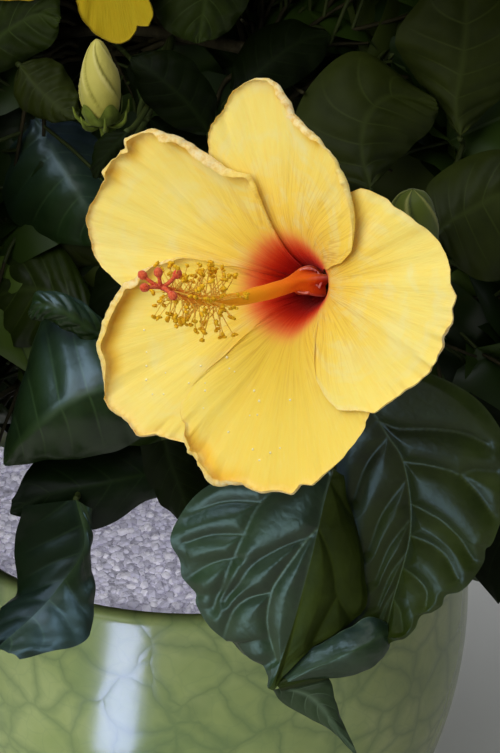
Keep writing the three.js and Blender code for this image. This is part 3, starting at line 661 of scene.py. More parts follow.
PV, PF = pebble_shape()
b = Build()
count = 3600
golden = math.pi * (3 - 5**0.5)
for k in range(count):
    r = R0 * 0.985 * math.sqrt((k + 0.5) / count) + rng.normal(0, 1.0)
    a = k * golden + rng.normal(0, 0.02)
    size = rng.uniform(1.5, 2.9) * (1.25 if rng.random() < 0.12 else 1)
    r = min(r, R0 - size * 1.1)
    x, y = r * math.cos(a), r * math.sin(a)
    if math.hypot(x - 14, y - 8) < 19:
        continue
    z = 203.2 + rng.uniform(-0.4, 1.3) - 1.0 * float(smooth(r / R0, 0.8, 1.0))
    shape = PV * (1 + rng.normal(0, 0.10, (12, 1))) * V(1, rng.uniform(0.7, 1), rng.uniform(0.5, 0.8)) * size
    c, s = math.cos(a * 3.1), math.sin(a * 3.1)
    shape = shape @ np.array([[c, -s, 0], [s, c, 0], [0, 0, 1]])
    b.add((shape + V(x, y, z)) * MM, PF, int(rng.choice(4, p=[0.4, 0.3, 0.2, 0.1])))
stones = b.object("gravel_stones", GRAVEL, smooth_shade=False)

for name in ("compost",):
    ob = frame["nodes"][name]
    ob.data.materials.clear()
    ob.data.materials.append(GRIT)

# ------------------------------------------------------------------ stem and boughs
STEM = [V(14, 8, 199.4), V(11, 6, 238), V(7, 1, 272), V(2, -4, 306)]
STEM_C = curve([p * MM for p in STEM], 90)


def stem_radius(t):
    return (15 + (9.5 - 15) * t + 6.5 * np.exp(-t / 0.12)) * MM


b = Build()
t = np.linspace(0, 1, 91)
sides = 56
ang = np.linspace(0, 2 * np.pi, sides, endpoint=False)
A2, T2 = np.meshgrid(ang, t)
relief = (0.030 * np.sin(A2 * 5 + 3 * np.sin(T2 * 5)) + 0.05 * np.sin(A2 * 3 + 1.0) * np.exp(-T2 / 0.2)
          + 0.022 * np.sin(A2 * 11 + T2 * 9) + 0.016 * np.sin(A2 * 17 - T2 * 33) + rng.normal(0, 0.008, A2.shape)
          + 0.05 * np.exp(-((T2 - 0.55) / 0.03) ** 2) * np.cos(A2 - 2.4) + 0.04 * np.exp(-((T2 - 0.78) / 0.03) ** 2) * np.cos(A2 - 5.0))
tube(b, STEM_C, stem_radius(t), sides, 0, bump=relief - 0.03)
trunk = b.object("trunk_bark", [BARK])
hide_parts("trunk")


def centre(node):
    lo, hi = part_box(node)
    lo, hi = np.array(lo, float), np.array(hi, float)
    return (lo + hi) / 2, (hi - lo) / 2


# bough: where it leaves the stem, its mass, its radius in mm and how far it sags
BOUGHS = [
    ("bough_low_front_left", 0.62, "foliage_low_front_left", 6.0, 12),
    ("bough_low_front_right", 0.78, "foliage_low_front_right", 6.0, 10),
    ("bough_low_right", 0.5, "foliage_low_right", 6.5, 14),
    ("bough_low_back_right", 0.72, "foliage_low_back_right", 6.2, 12),
    ("bough_low_back_left", 0.56, "foliage_low_back_left", 6.6, 14),
    ("bough_low_left", 0.84, "foliage_low_left", 6.2, 12),
    ("bough_mid_front", 0.97, "foliage_mid_front", 6.0, -6),
    ("bough_mid_right", 0.93, "foliage_mid_right", 6.4, -6),
    ("bough_mid_back", 0.96, "foliage_mid_back", 6.4, -8),
    ("bough_mid_left", 0.94, "foliage_mid_left", 6.2, -8),
    ("bough_leader", 0.985, None, 7.0, -4),
]
# the middles of the masses before they were cut, from the same rings as the solids
LOW, MID, TOP = (352, 140), (470, 112), (580, 58)
RINGS = {
    "foliage_low_front_left": (LOW, 236, 0, 4), "foliage_low_front_right": (LOW, 306, -4, -4),
    "foliage_low_right": (LOW, 0, 6, 6), "foliage_low_back_right": (LOW, 55, -4, 2),
    "foliage_low_back_left": (LOW, 118, 4, 4), "foliage_low_left": (LOW, 180, 0, 10),
    "foliage_mid_front": (MID, 288, -2, -6), "foliage_mid_right": (MID, 4, 8, 0),
    "foliage_mid_back": (MID, 78, -6, 4), "foliage_mid_left": (MID, 150, 6, 6),
    "foliage_mid_front_left": (MID, 218, -8, -4), "foliage_top_right": (TOP, 320, -6, 0),
    "foliage_top_left": (TOP, 200, 4, 4), "foliage_top_back": (TOP, 80, 22, -4),
}
SIZES = {LOW: V(101, 96, 72), MID: V(92, 88, 80), TOP: V(89, 84, 84)}


def mass_centre(name):
    (z, reach), az, dz, dr = RINGS[name]
    a = math.radians(az)
    r = reach + dr
    return V(r * math.cos(a), 12 + r * math.sin(a), z + dz) * MM


LIMB_ENDS = {}
INNER = []  # what goes on inside the mass: (path, radius, where it starts)
HUBS = []  # points of wood inside the masses, where stalks and petioles can join
for name, t0, target, r, lift in BOUGHS:
    start = STEM_C[int(round(t0 * 90))]
    end = V(6, 20, 560) * MM if target is None else mass_centre(target)
    mid = start + (end - start) * 0.45 - V(0, 0, lift) * MM
    path = curve([start, mid, end], 34)
    lo, hi = (np.array(q, float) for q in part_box(name))
    within = np.all((path > lo - 0.004) & (path < hi + 0.004), axis=1)
    last = int(np.nonzero(within)[0].max()) if within.any() else 12
    last = min(max(last, 4), 33)
    tt = np.linspace(0, 1, 35)[:last + 1]
    A2, T2 = np.meshgrid(np.linspace(0, 2 * np.pi, 14, endpoint=False), tt)
    relief = 0.05 * np.sin(A2 * 3 + 7 * T2) + 0.03 * np.sin(A2 * 5 - 21 * T2) + rng.normal(0, 0.012, A2.shape)
    bb = Build()
    tube(bb, path[:last + 1], r * MM * (1 - 0.62 * tt), 14, 0, bump=relief)
    ob = bb.object(name + "_bark", [BARK])
    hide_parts(name)
    LIMB_ENDS[name] = path
    INNER.append((path, r * MM, last))
    HUBS.extend(list(path[16:]))
LIMB_FOR = {
    "foliage_low_front_left": "bough_low_front_left", "foliage_low_front_right": "bough_low_front_right",
    "foliage_low_right": "bough_low_right", "foliage_low_back_right": "bough_low_back_right",
    "foliage_low_back_left": "bough_low_back_left", "foliage_low_left": "bough_low_left",
    "foliage_mid_front": "bough_mid_front", "foliage_mid_right": "bough_mid_right",
    "foliage_mid_back": "bough_mid_back", "foliage_mid_left": "bough_mid_left",
    "foliage_mid_front_left": "bough_mid_front", "foliage_top_right": "bough_leader",
    "foliage_top_left": "bough_leader", "foliage_top_back": "bough_leader",
}

# ------------------------------------------------------------------ blooms
THROAT, THROAT_R, THROAT_SOFT, DISH, DISH_R = 27.0, 5.0, 9.0, 9.0, 80.0  # mm


def saucer(r):
    return THROAT * (1 - np.exp(-np.maximum(r - THROAT_R, 0) / THROAT_SOFT)) + DISH * (np.maximum(r, 0) / DISH_R) ** 1.6


# each petal's margin from its covered edge round its tip to its covering edge, as turn and radius
# about the bloom's axis (degrees, mm): (place along the margin, turn, radius)
PETALS = {
    "top": (97, [(-1.0, 129, 11.5), (-0.81, 132, 25.4), (-0.65, 130, 39.6), (-0.52, 126, 50.1), (-0.38, 119, 60.1), (-0.32, 115, 64.2), (-0.26, 111, 67.2), (-0.2, 107, 69.9), (-0.13, 103, 73.8), (-0.08, 99, 75.4), (-0.03, 95, 75.8), (0.02, 91, 75.2), (0.08, 88, 72.5), (0.15, 85, 67.7), (0.21, 83, 63.0), (0.29, 77, 58.8), (0.39, 68, 54.7), (0.46, 61, 51.9), (0.54, 54, 48.6), (0.62, 47, 45.1), (0.7, 40, 41.8), (0.78, 32, 37.6), (0.88, 21, 32.3), (0.95, 17, 25.2), (1.0, 20, 17.2)]),
    "right": (-6, [(-1.0, 28, 11.6), (-0.89, 48, 21.6), (-0.79, 54, 31.0), (-0.72, 51, 39.3), (-0.63, 44, 47.9), (-0.57, 37, 51.7), (-0.49, 28, 55.3), (-0.42, 21, 59.9), (-0.35, 16, 63.9), (-0.3, 11, 67.9), (-0.24, 7, 70.0), (-0.17, 2, 72.3), (-0.12, -2, 73.1), (-0.07, -5, 75.8), (-0.03, -8, 74.9), (0.03, -12, 75.7), (0.09, -16, 74.0), (0.15, -21, 73.9), (0.23, -26, 72.9), (0.31, -33, 68.8), (0.38, -39, 65.4), (0.45, -44, 64.1), (0.48, -48, 63.4), (0.55, -53, 57.9), (0.62, -60, 53.2), (0.69, -64, 45.6), (0.76, -66, 38.8), (0.82, -64, 32.7), (0.91, -59, 24.3), (1.0, -48, 15.3)]),
    "bottom": (-92, [(-1.0, -23, 20.4), (-0.88, -36, 32.2), (-0.75, -44, 46.2), (-0.63, -48, 57.6), (-0.53, -54, 64.1), (-0.47, -59, 67.0), (-0.41, -64, 69.5), (-0.35, -69, 71.6), (-0.29, -74, 74.0), (-0.24, -77, 75.7), (-0.2, -81, 74.6), (-0.15, -84, 78.2), (-0.11, -87, 76.6), (-0.08, -90, 76.3), (-0.04, -93, 77.3), (0.03, -99, 75.1), (0.09, -104, 76.9), (0.15, -108, 78.8), (0.19, -111, 75.6), (0.24, -115, 73.8), (0.29, -120, 72.6), (0.35, -123, 68.2), (0.39, -126, 64.7), (0.44, -130, 63.0), (0.48, -133, 60.3), (0.54, -135, 54.3), (0.63, -135, 44.5), (0.72, -133, 35.2), (0.84, -133, 22.8), (1.0, -138, 10.7)]),
    "low_left": (-150, [(-1.0, -120, 8.2), (-0.84, -113, 22.3), (-0.64, -117, 41.9), (-0.47, -119, 60.0), (-0.35, -124, 71.7), (-0.32, -128, 73.6), (-0.25, -133, 76.9), (-0.2, -136, 81.3), (-0.18, -138, 81.2), (-0.13, -142, 82.5), (-0.06, -147, 85.6), (-0.02, -150, 86.5), (0.05, -154, 82.1), (0.11, -159, 80.2), (0.17, -163, 79.6), (0.24, -168, 76.1), (0.3, -172, 72.9), (0.35, -176, 69.9), (0.4, -180, 66.2), (0.44, -181, 62.2), (0.5, -186, 56.7), (0.57, -191, 49.4), (0.66, -194, 39.9), (0.73, -196, 31.9), (0.86, -197, 19.9), (1.0, -199, 9.6)]),
    "high_left": (-206, [(-1.0, -176, 8.4), (-0.82, -166, 22.5), (-0.66, -169, 40.1), (-0.52, -174, 56.0), (-0.41, -180, 67.9), (-0.34, -184, 73.2), (-0.29, -186, 77.6), (-0.25, -189, 81.4), (-0.18, -194, 84.6), (-0.11, -198, 87.4), (-0.06, -202, 86.5), (-0.0, -206, 85.7), (0.04, -210, 84.6), (0.07, -212, 86.3), (0.13, -216, 84.2), (0.19, -220, 82.3), (0.22, -222, 84.6), (0.26, -225, 82.2), (0.31, -229, 78.5), (0.36, -231, 73.6), (0.41, -233, 68.0), (0.48, -236, 61.1), (0.53, -239, 55.1), (0.59, -242, 49.2), (0.64, -247, 44.6), (0.68, -252, 42.2), (0.72, -254, 37.7), (0.79, -255, 31.0), (0.9, -254, 20.4), (1.0, -251, 11.8)]),
}
BASE_HALF = 40.0
# how each margin of the front bloom curls: (place along the margin, radius of the curl in mm, turn in degrees)
CURLS = {
    "top": [(-1, .3, 20), (-.6, .5, 50), (-.4, .8, 80), (-.2, 1.1, 110), (-.05, 1.3, 130), (.05, 1.7, 165), (.12, 1.9, 185), (.3, 2.0, 178), (.45, 1.3, 130), (.55, 1.9, 170), (.75, 1.5, 140), (.9, .7, 80), (1, .3, 20)],
    "high_left": [(-1, .3, 20), (-.7, .4, 30), (-.4, .4, 35), (-.3, .5, 50), (-.2, 1.2, 120), (-.1, 1.4, 130), (0, 1.2, 110), (.06, 2.5, 190), (.13, 1.5, 120), (.2, 2.6, 195), (.28, 1.6, 140), (.35, 3.0, 170), (.5, 3.2, 172), (.62, 2.8, 168), (.7, 1.8, 140), (.85, .8, 70), (1, .3, 20)],
    "low_left": [(-1, .3, 20), (-.5, .7, 60), (-.3, 1.3, 120), (-.15, 1.6, 140), (0, 1.5, 130), (.08, 2.4, 175), (.2, 2.8, 188), (.35, 3.0, 190), (.5, 2.3, 165), (.7, 1.0, 100), (1, .3, 20)],
    "bottom": [(-1, .3, 20), (-.6, .7, 70), (-.4, .9, 90), (-.2, 1.3, 130), (0, 1.5, 140), (.12, 2.2, 172), (.26, 2.4, 180), (.34, 1.8, 150), (.42, .6, 60), (.5, .3, 20), (1, .3, 12)],
    "right": [(-1, .3, 20), (-.6, .5, 60), (-.3, .7, 70), (0, 1.0, 110), (.12, 1.4, 120), (.25, 1.1, 105), (.4, 1.2, 120), (.5, 1.0, 110), (.58, .8, 90), (.66, .3, 20), (1, .3, 12)],
}
PLAIN_CURL = [(-1, .3, 20), (-.6, .6, 60), (-.3, 1.0, 120), (0, 1.2, 140), (.3, 1.1, 120), (.6, .7, 70), (1, .3, 20)]
# the red eye's radius in mm by direction about the axis
EYE_T = np.array([0, 30, 60, 90, 120, 210, 240, 270, 300, 330, 360.0])
EYE_R = np.array([10.3, 10.8, 12.5, 16, 18, 18, 17.5, 17.5, 12.5, 11, 10.3])


def even_petal(turn, seed):
    """The margin of one broad petal of a bloom whose petals stand a fifth of a turn apart."""
    g = np.random.default_rng(seed)
    u = np.array([-1, -.88, -.74, -.6, -.47, -.36, -.26, -.17, -.08, 0, .08, .17, .26, .36, .47, .6, .74, .88, 1])
    off = np.array([34, 42, 46, 45, 41, 35, 27.5, 19, 9.5, 0, -9.5, -19, -27.5, -35, -40, -43, -43, -39, -30])
    rad_ = np.array([11, 22, 34, 47, 58, 66.5, 73, 77.5, 80, 80.8, 80.2, 77.6, 73, 66, 57, 46, 34, 22, 11])
    rad_ = rad_ * (1 + 0.018 * g.normal(0, 1, len(u))) * g.uniform(0.97, 1.02)
    return turn, [(a, turn + o + g.normal(0, 1.0), r) for a, o, r in zip(u, off, rad_)]


def petal_points(stations, middle, cols, rows, seed, ruffle, curls, nroll, lift=2.6):
    """Grid of one petal in the bloom's own frame, in mm: columns run across it, rows from claw to margin, then its curled edge."""
    st = np.array(stations, float)
    cu = np.array(curls, float)
    u = np.linspace(-1, 1, cols)
    calm = np.clip(0.55 + 0.75 * ripple(u * 7, seed + 29, 2), 0.12, 1.3)  # where the margin is crimped and where it runs smooth
    cr = np.interp(u, cu[:, 0], cu[:, 1]) * (1 + 0.20 * ripple(u * 44, seed + 31, 2) * calm + 0.09 * ripple(u * 140, seed + 33, 2))
    turn = np.radians(np.clip(np.interp(u, cu[:, 0], cu[:, 2]) + 20 * ripple(u * 31, seed + 37, 2) * calm * smooth(np.interp(u, cu[:, 0], cu[:, 2]), 20, 90), 8, 215))
    th_r = np.interp(u, st[:, 0], st[:, 1])
    rho_r = np.interp(u, st[:, 0], st[:, 2])
    rho_r = rho_r + (0.5 * ripple(u * 58, seed + 41, 2) * calm - 0.75 * cr * np.sin(np.minimum(turn, np.pi / 2))) * smooth(rho_r, 30, 55)
    th_b = middle - BASE_HALF * u
    v = 1 - (1 - np.linspace(0, 1, rows)) ** 1.22
    Uc, Vv = np.meshgrid(u, v)
    s = smooth(Vv, 0.0, 0.85) * 0.75 + 0.25 * Vv
    th = np.radians(th_b[None] + (th_r - th_b)[None] * s)
    r0 = 3.6
    rho = r0 + (rho_r[None] - r0) * Vv
    side = smooth(rho, 10, 35)
    h = saucer(rho) + lift * Uc * side
    big_ = smooth(rho_r, 30, 60)[None]
    # long soft folds that fan out from the claw
    fold = ripple(Uc * 9.0, seed, 3) * 1.1 * smooth(Vv, 0.15, 0.6) * (1 - 0.35 * Vv)
    fold = fold + ripple(Uc * 31.0, seed + 3, 2) * 0.28 * smooth(Vv, 0.2, 0.8)
    fine = ripple(Uc * 74.0 + 2.0 * np.sin(Vv * 5), seed + 5, 2) * 0.10 * smooth(Vv, 0.25, 0.7)
    # the margin: waves and small crimps, strongest at the very edge
    edge = smooth(Vv, 0.80, 1.0) * big_
    wave = ripple(Uc * 8.5, seed + 7, 2) * 1.9 * smooth(Vv, 0.45, 1.0) * big_
    crimp = (ripple(Uc * 46.0, seed + 11, 3) * 1.15 + ripple(Uc * 21.0, seed + 13, 2) * 1.1) * calm[None] * edge**1.6
    belly = -1.6 * np.sin(np.pi * Vv) * (1 - Uc**2)
    h = h + (fold + fine + wave * 0.8 + crimp) * ruffle + belly
    rho = rho + crimp * 0.22 * ruffle
    pts = np.stack([rho * np.cos(th), rho * np.sin(th), h], -1)
    M = pts[-1]
    T = unit(np.gradient(M, axis=0))
    k = np.ones(9) / 9
    T = unit(np.stack([np.convolve(np.pad(T[:, i], 4, mode="edge"), k, "valid") for i in range(3)], -1))
    D = M - pts[-4]
    D = unit(D - T * np.sum(D * T, -1, keepdims=True))
    N = np.cross(D, T)
    N = N * np.sign(N[:, 2:3] + 1e-9)
    roll = []
    for i in range(1, nroll + 1):
        a = turn * i / nroll
        roll.append(M + (cr * np.sin(a))[:, None] * D + (cr * (1 - np.cos(a)))[:, None] * N)
    pts = np.concatenate([pts, np.array(roll)])
    Uc = np.concatenate([Uc, np.repeat(u[None], nroll, 0)])
    Vv = np.concatenate([Vv, np.ones((nroll, cols))])
    rho = np.concatenate([rho, np.repeat(rho[-1:], nroll, 0)])
    fold = np.concatenate([fold, np.repeat(fold[-1:], nroll, 0)])
    step = np.concatenate([np.zeros(rows), np.arange(1, nroll + 1) / nroll])[:, None] * np.ones((1, cols))
    return pts, Uc, Vv, rho, fold, step, np.degrees(turn)[None] * np.ones((rows + nroll, 1))


def press(cover, under, cell, gap, rows, span):
    """Pushes a covered petal back where it would come through the one that lies over it."""
    n = 160
    cols = cover.shape[1] // 2
    top = cover[:rows, cols:]
    rest = top[..., 2] - saucer(np.hypot(top[..., 0], top[..., 1]))
    low = np.full((n, n), 1e3)
    ij = np.clip((top[..., :2] / cell + n / 2).astype(int), 0, n - 1).reshape(-1, 2)
    np.minimum.at(low, (ij[:, 0], ij[:, 1]), rest.ravel())
    p = np.pad(low, 1, constant_values=1e3)
    low = np.min([p[a:a + n, c:c + n] for a in range(3) for c in range(3)], axis=0)
    iu = np.clip((under[..., 0] / cell + n / 2).astype(int), 0, n - 1)
    ju = np.clip((under[..., 1] / cell + n / 2).astype(int), 0, n - 1)
    here = under[..., 2] - saucer(np.hypot(under[..., 0], under[..., 1]))
    need = np.minimum(low[iu, ju] - gap - here, 0.0)
    need[:, under.shape[1] // 2:] = 0
    r, c = need.shape
    a, w = 2, span
    p = np.pad(need, ((a, a), (w, w)), mode="edge")
    need = np.min([p[y:y + r, x:x + c] for y in range(2 * a + 1) for x in range(2 * w + 1)], axis=0)
    p = np.pad(need, ((a, a), (w, w)), mode="edge")
    need = np.mean([p[y:y + r, x:x + c] for y in range(2 * a + 1) for x in range(2 * w + 1)], axis=0)
    under[..., 2] += need


WARM = {"top": 0.16, "right": 0.24, "bottom": 0.86, "low_left": 0.46, "high_left": 0.22}
# SHADE: how much painted shade lies beside each petal's covered edge
SHADE = {"top": 0.36, "right": 0.6, "bottom": 0.0, "low_left": 0.05, "high_left": 0.25}
LIFT = {"top": 2.8, "right": 1.5, "bottom": 1.1, "low_left": 1.6, "high_left": 2.0}
COLUMN_S = np.array([0, 2, 14, 25, 37, 49, 60, 71, 82, 88, 91.0])
COLUMN_SAG = np.array([-1.9, -1.9, -1.8, 0.7, 2.7, 4.5, 5.2, 4.9, 2.7, 1.4, 0.5])
COLUMN_R = (np.array([0, 4, 9, 12, 15, 18, 22, 30, 40, 49, 60, 71, 84, 88, 91.0]), np.array([5.3, 5.3, 5.2, 4.6, 3.6, 3.05, 2.9, 2.95, 2.85, 2.5, 2.0, 1.8, 1.6, 1.25, 1.0]))


def bloom(name, O, axis, e1, e2, scale, cols, rows, nroll, seed, column_dir, mirror=False, ruffle=1.0, stamens=70, petals=None, skin=None):
    O, axis, e1, e2 = (np.asarray(q, float) for q in (O, axis, e1, e2))
    front = petals is None

    def place(p):
        p = np.asarray(p, float) * scale * MM
        return O + p[..., 0:1] * e1 + p[..., 1:2] * e2 + p[..., 2:3] * axis

    tiles = {"top": (0, 0), "right": (1, 0), "bottom": (2, 0), "low_left": (0, 1), "high_left": (1, 1)}
    b = Build()
    made = [petal_points(stations, middle, cols, rows, seed + 20 * k, ruffle, CURLS[pname] if front else PLAIN_CURL, nroll, LIFT[pname] if front else 3.0)
            for k, (pname, (middle, stations)) in enumerate((petals or PETALS).items())]
    for k in range(5):
        press(made[k - 1][0], made[k][0], 1.6 if cols > 150 else 3.6, 0.45 if front else 0.8, rows, 5 if cols > 150 else 1)
    for k, pname in enumerate(petals or PETALS):
        pts, U, W, rho, fold, step, turn = made[k]
        ang = np.degrees(np.arctan2(pts[..., 1], pts[..., 0])) % 360
        red = np.interp(ang, EYE_T, EYE_R) if front else 15.5 + 1.5 * np.cos(np.radians(ang * 3))
        if mirror:
            pts[..., 0] *= -1
        tx, ty = tiles[pname]
        w_uv = W * 0.93 + 0.07 * step
        uv = np.stack([(tx + 0.02 + 0.96 * (U + 1) / 2) / 3, (ty + 0.02 + 0.96 * w_uv) / 2], -1)
        outer = smooth(rho, 30, 55)
        rim = smooth(W, 0.965, 1.0) * 0.25 * outer + 0.6 * smooth(step, 0.1, 0.5) * outer * smooth(turn, 50, 110) * (1 - 0.7 * smooth(step, 0.8, 1.0))
        rim = rim * (0.75 + 0.25 * np.sin(U * 9 + k))
        # painted shade: the valleys of the long folds are painted deep gold
        deep = smooth(-fold, 0.5, 1.6) * smooth(W, 0.25, 0.6) * (1 - smooth(W, 0.9, 1.0)) * 0.3
        # painted shade: the fold beside a covering edge, and the crease inside a curled edge, are painted a shaded deep
        # gold
        deep = deep + SHADE[pname] * (1 - smooth(np.abs(U + 0.86), 0.0, 0.10)) * smooth(W, 0.3, 0.7)
        deep = deep + 0.65 * smooth(W, 0.90, 0.985) * (1 - smooth(step, 0, 0.15)) * smooth(turn, 125, 180) * outer
        # painted shade: the far, tucked-in end of a curled edge is painted deep gold, and the rim above fades there
        deep = deep + 0.5 * smooth(step, 0.75, 1.0) * outer * smooth(turn, 40, 100)
        warm = WARM[pname] + 0.25 * ripple(U * 3.1 + W * 2.0, seed + 90 + k, 2) + (0.2 * U if pname == "bottom" else 0)
        b.grid(place(pts), 0, uv, flip=mirror, eye=np.clip(rho / red * 0.5, 0, 1), reach=rho / 100, rim=np.clip(rim, 0, 1),
               across=U * 0.5 + k * 1.7, along=W, fold=np.clip(deep, 0, 1), warm=np.clip(warm, 0, 1))
    ob = b.object(name + "_corolla", [skin or PETAL], uvs=True)
    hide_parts(name + "_petals")
    if front:
        # small drops of dew on the two lower petals, in an opaque pale near-white that is a painted highlight
        b = Build()
        g = np.random.default_rng(77)
        for k in range(26):
            grid = place(made[2 if k % 3 else 3][0][:rows])
            i, j = int(rows * g.uniform(0.45, 0.80)), int(cols * g.uniform(0.42, 0.80) if k % 3 else cols * g.uniform(0.40, 0.66))
            side_a, side_b = unit(grid[i, j + 2] - grid[i, j - 2]), unit(grid[i + 1, j] - grid[i - 1, j])
            nrm = unit(np.cross(side_a, side_b))
            nrm = nrm * np.sign(nrm @ axis)
            th, ph = np.meshgrid(np.linspace(0, np.pi, 7), np.linspace(0, 2 * np.pi, 9), indexing="ij")
            ball = np.stack([np.sin(th) * np.cos(ph), np.sin(th) * np.sin(ph), np.cos(th) * 0.7], -1) * g.uniform(0.32, 0.60) * MM
            b.grid(grid[i, j] + ball @ np.array([side_a, np.cross(nrm, side_a), nrm]), 0)
        ob = b.object(name + "_dew", [DEW_GLINT])

    # column: a slender tube that sags a little between the throat and its tip, with stamens on its outer half
    b = Build()
    tip = unit(column_dir)
    down = -UP if front else -unit(V(0, 0, 1.0) - tip * tip[2])
    mm = scale * MM
    raw = np.array([O + (tip * s_ + down * o_) * mm for s_, o_ in zip(COLUMN_S[1:], COLUMN_SAG[1:])])
    line = curve(list(raw), 90)
    gone = np.concatenate([[0], np.cumsum(np.linalg.norm(np.diff(line, axis=0), axis=1))])
    s = gone / gone[-1]
    dist = 2 + s * 89
    rad = np.interp(dist, *COLUMN_R) * mm
    sd = 60 if front else 20
    A2, T2 = np.meshgrid(np.linspace(0, 2 * np.pi, sd, endpoint=False), s)
    rel = 0.20 * np.cos(A2 * 5 + 0.6) * np.exp(-((T2 / 0.15) ** 2)) + 0.03 * np.cos(A2 * 5) * np.exp(-T2 / 0.5) + 0.02 * np.sin(A2 * 3 + T2 * 40)
    t, n, m = frames_along(line)
    ring = np.cos(A2)[..., None] * n[:, None] + np.sin(A2)[..., None] * m[:, None]
    pts = line[:, None] + ring * (rad[:, None] * (1 + rel))[..., None]
    # the crests of the five ridges at the foot turn pale pink: partly their own colour, partly a painted highlight
    edge = smooth(np.cos(A2 * 5 + 0.6), 0.80, 0.98) * (1 - smooth(T2, 0.05, 0.15)) * front
    b.grid(pts, 0, close=True, flip=True, along=np.repeat(s, sd), edge=edge)
    if front:
        # pale pink edges on the column's foot, where the five parts of the tube join, drawn as thin strokes: partly
        # their own pale pink, partly a painted highlight
        ax, ay, az = seen(line)

        def on_column(x, y):
            q = int(np.argmin(np.hypot(ax - x, ay - y)))
            off = min(float(np.hypot(ax[q] - x, ay[q] - y)) * az[q] / FOCAL, 0.96 * rad[q])
            return at(x, y, az[q] - math.sqrt((1.16 * rad[q]) ** 2 - off**2) - 0.0003)

        for stroke in ([(300, 270), (306, 268.5), (312, 269), (317, 271)], [(317, 271), (320, 276), (321, 282), (319, 288)],
                       [(298, 292), (304, 293), (310, 292), (315, 289)], [(308, 283), (313, 283), (317, 285), (320, 288)]):
            stroke = sample(stroke, 14)
            tube(b, np.array([on_column(x, y) for x, y in stroke]), np.interp(np.linspace(0, 1, 14), [0, 0.5, 1], [0.22, 0.62, 0.40]) * mm, 6, 3)
    g = np.random.default_rng(seed + 500)
    for k in range(stamens):
        q = (58 + 30 * (k + g.uniform(0, 1)) / stamens - 2) / 89
        i = int(np.searchsorted(s, q))
        a = k * 2.39996 + g.normal(0, 0.2)
        out = math.cos(a) * n[i] + math.sin(a) * m[i]
        length = g.uniform(8.5, 15.5) * (1 - 0.22 * abs(q - 0.75) / 0.2) * mm
        lean = g.uniform(-0.30, 0.50)
        d0 = unit(out + t[i] * lean)
        bend = unit(np.cross(d0, t[i])) * g.normal(0, 0.16) + t[i] * g.uniform(-0.25, 0.20) - V(0, 0, 0.03)
        p0 = line[i]
        fil = np.array([p0, p0 + d0 * length * 0.4, p0 + d0 * length * 0.75 + bend * length * 0.25, p0 + d0 * length + bend * length * 0.5])
        tube(b, curve(list(fil), 5), np.linspace(0.25, 0.17, 6) * mm, 4, 1)
        c = fil[-1]
        w = unit(g.normal(0, 1, 3))
        size = g.uniform(1.12, 1.45) * mm
        lobe = PV * V(1.0, 0.72, 0.62) * size * (1 + 0.12 * g.normal(0, 1, (12, 1)))
        f1 = unit(np.cross(w, V(0.3, 0.5, 0.8)))
        f2 = np.cross(w, f1)
        b.add(c + lobe @ np.array([w, f1, f2]), PF, 2)
        b.add(c + w * size * 0.7 + f1 * size * 0.55 + (lobe * 0.7) @ np.array([f1, f2, w]), PF, 2)
    # five short arms of the style, each with a velvet knob
    end, te = line[-1], t[-1]
    fork = end - RIGHT * 0.5 * mm + UP * 0.1 * mm if front else end
    tube(b, curve([line[-4], (line[-1] + fork) / 2, fork], 5), np.linspace(1.05, 1.25, 6) * mm, 8, 4)
    spots = [(-6.5, 4.1, 1.5), (-1.0, 4.9, 3.0), (5.5, 4.4, 2.0), (-5.6, -0.3, 4.0), (4.0, -3.1, 4.0)]
    for k, (sx, sy, sz) in enumerate(spots):
        if front:
            tgt = fork + (RIGHT * sx + UP * sy - LOOK * sz) * mm
            knee = fork + (RIGHT * sx * 0.45 + UP * sy * 0.30 - LOOK * sz * 0.7) * mm
        else:
            a = k * 1.257 + 0.4
            tgt = fork + (te * 6.0 + (math.cos(a) * n[-1] + math.sin(a) * m[-1]) * 5.6) * mm
            knee = fork + (te * 3.6 + (math.cos(a) * n[-1] + math.sin(a) * m[-1]) * 2.0) * mm
        arm = curve([fork, knee, tgt], 8)
        tube(b, arm, np.linspace(0.85, 0.66, 9) * mm, 8, 4)
        th, ph = np.meshgrid(np.linspace(0, np.pi, 11), np.linspace(0, 2 * np.pi, 15), indexing="ij")
        knob = np.stack([np.sin(th) * np.cos(ph), np.sin(th) * np.sin(ph), np.cos(th)], -1)
        knob = knob * (1 + 0.07 * np.sin(9 * ph) * np.sin(7 * th))[..., None]
        B = basis(tgt - knee, V(0.1, 0.2, 1))
        b.grid(tgt + (knob * V(1.55, 1.85, 1.55)) @ B * mm, 4)
    ob = b.object(name + "_stamens", [STAMEN_TUBE, FILAMENT, ANTHER, FOOT_GLINT, STIGMA])
    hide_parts(name + "_column")

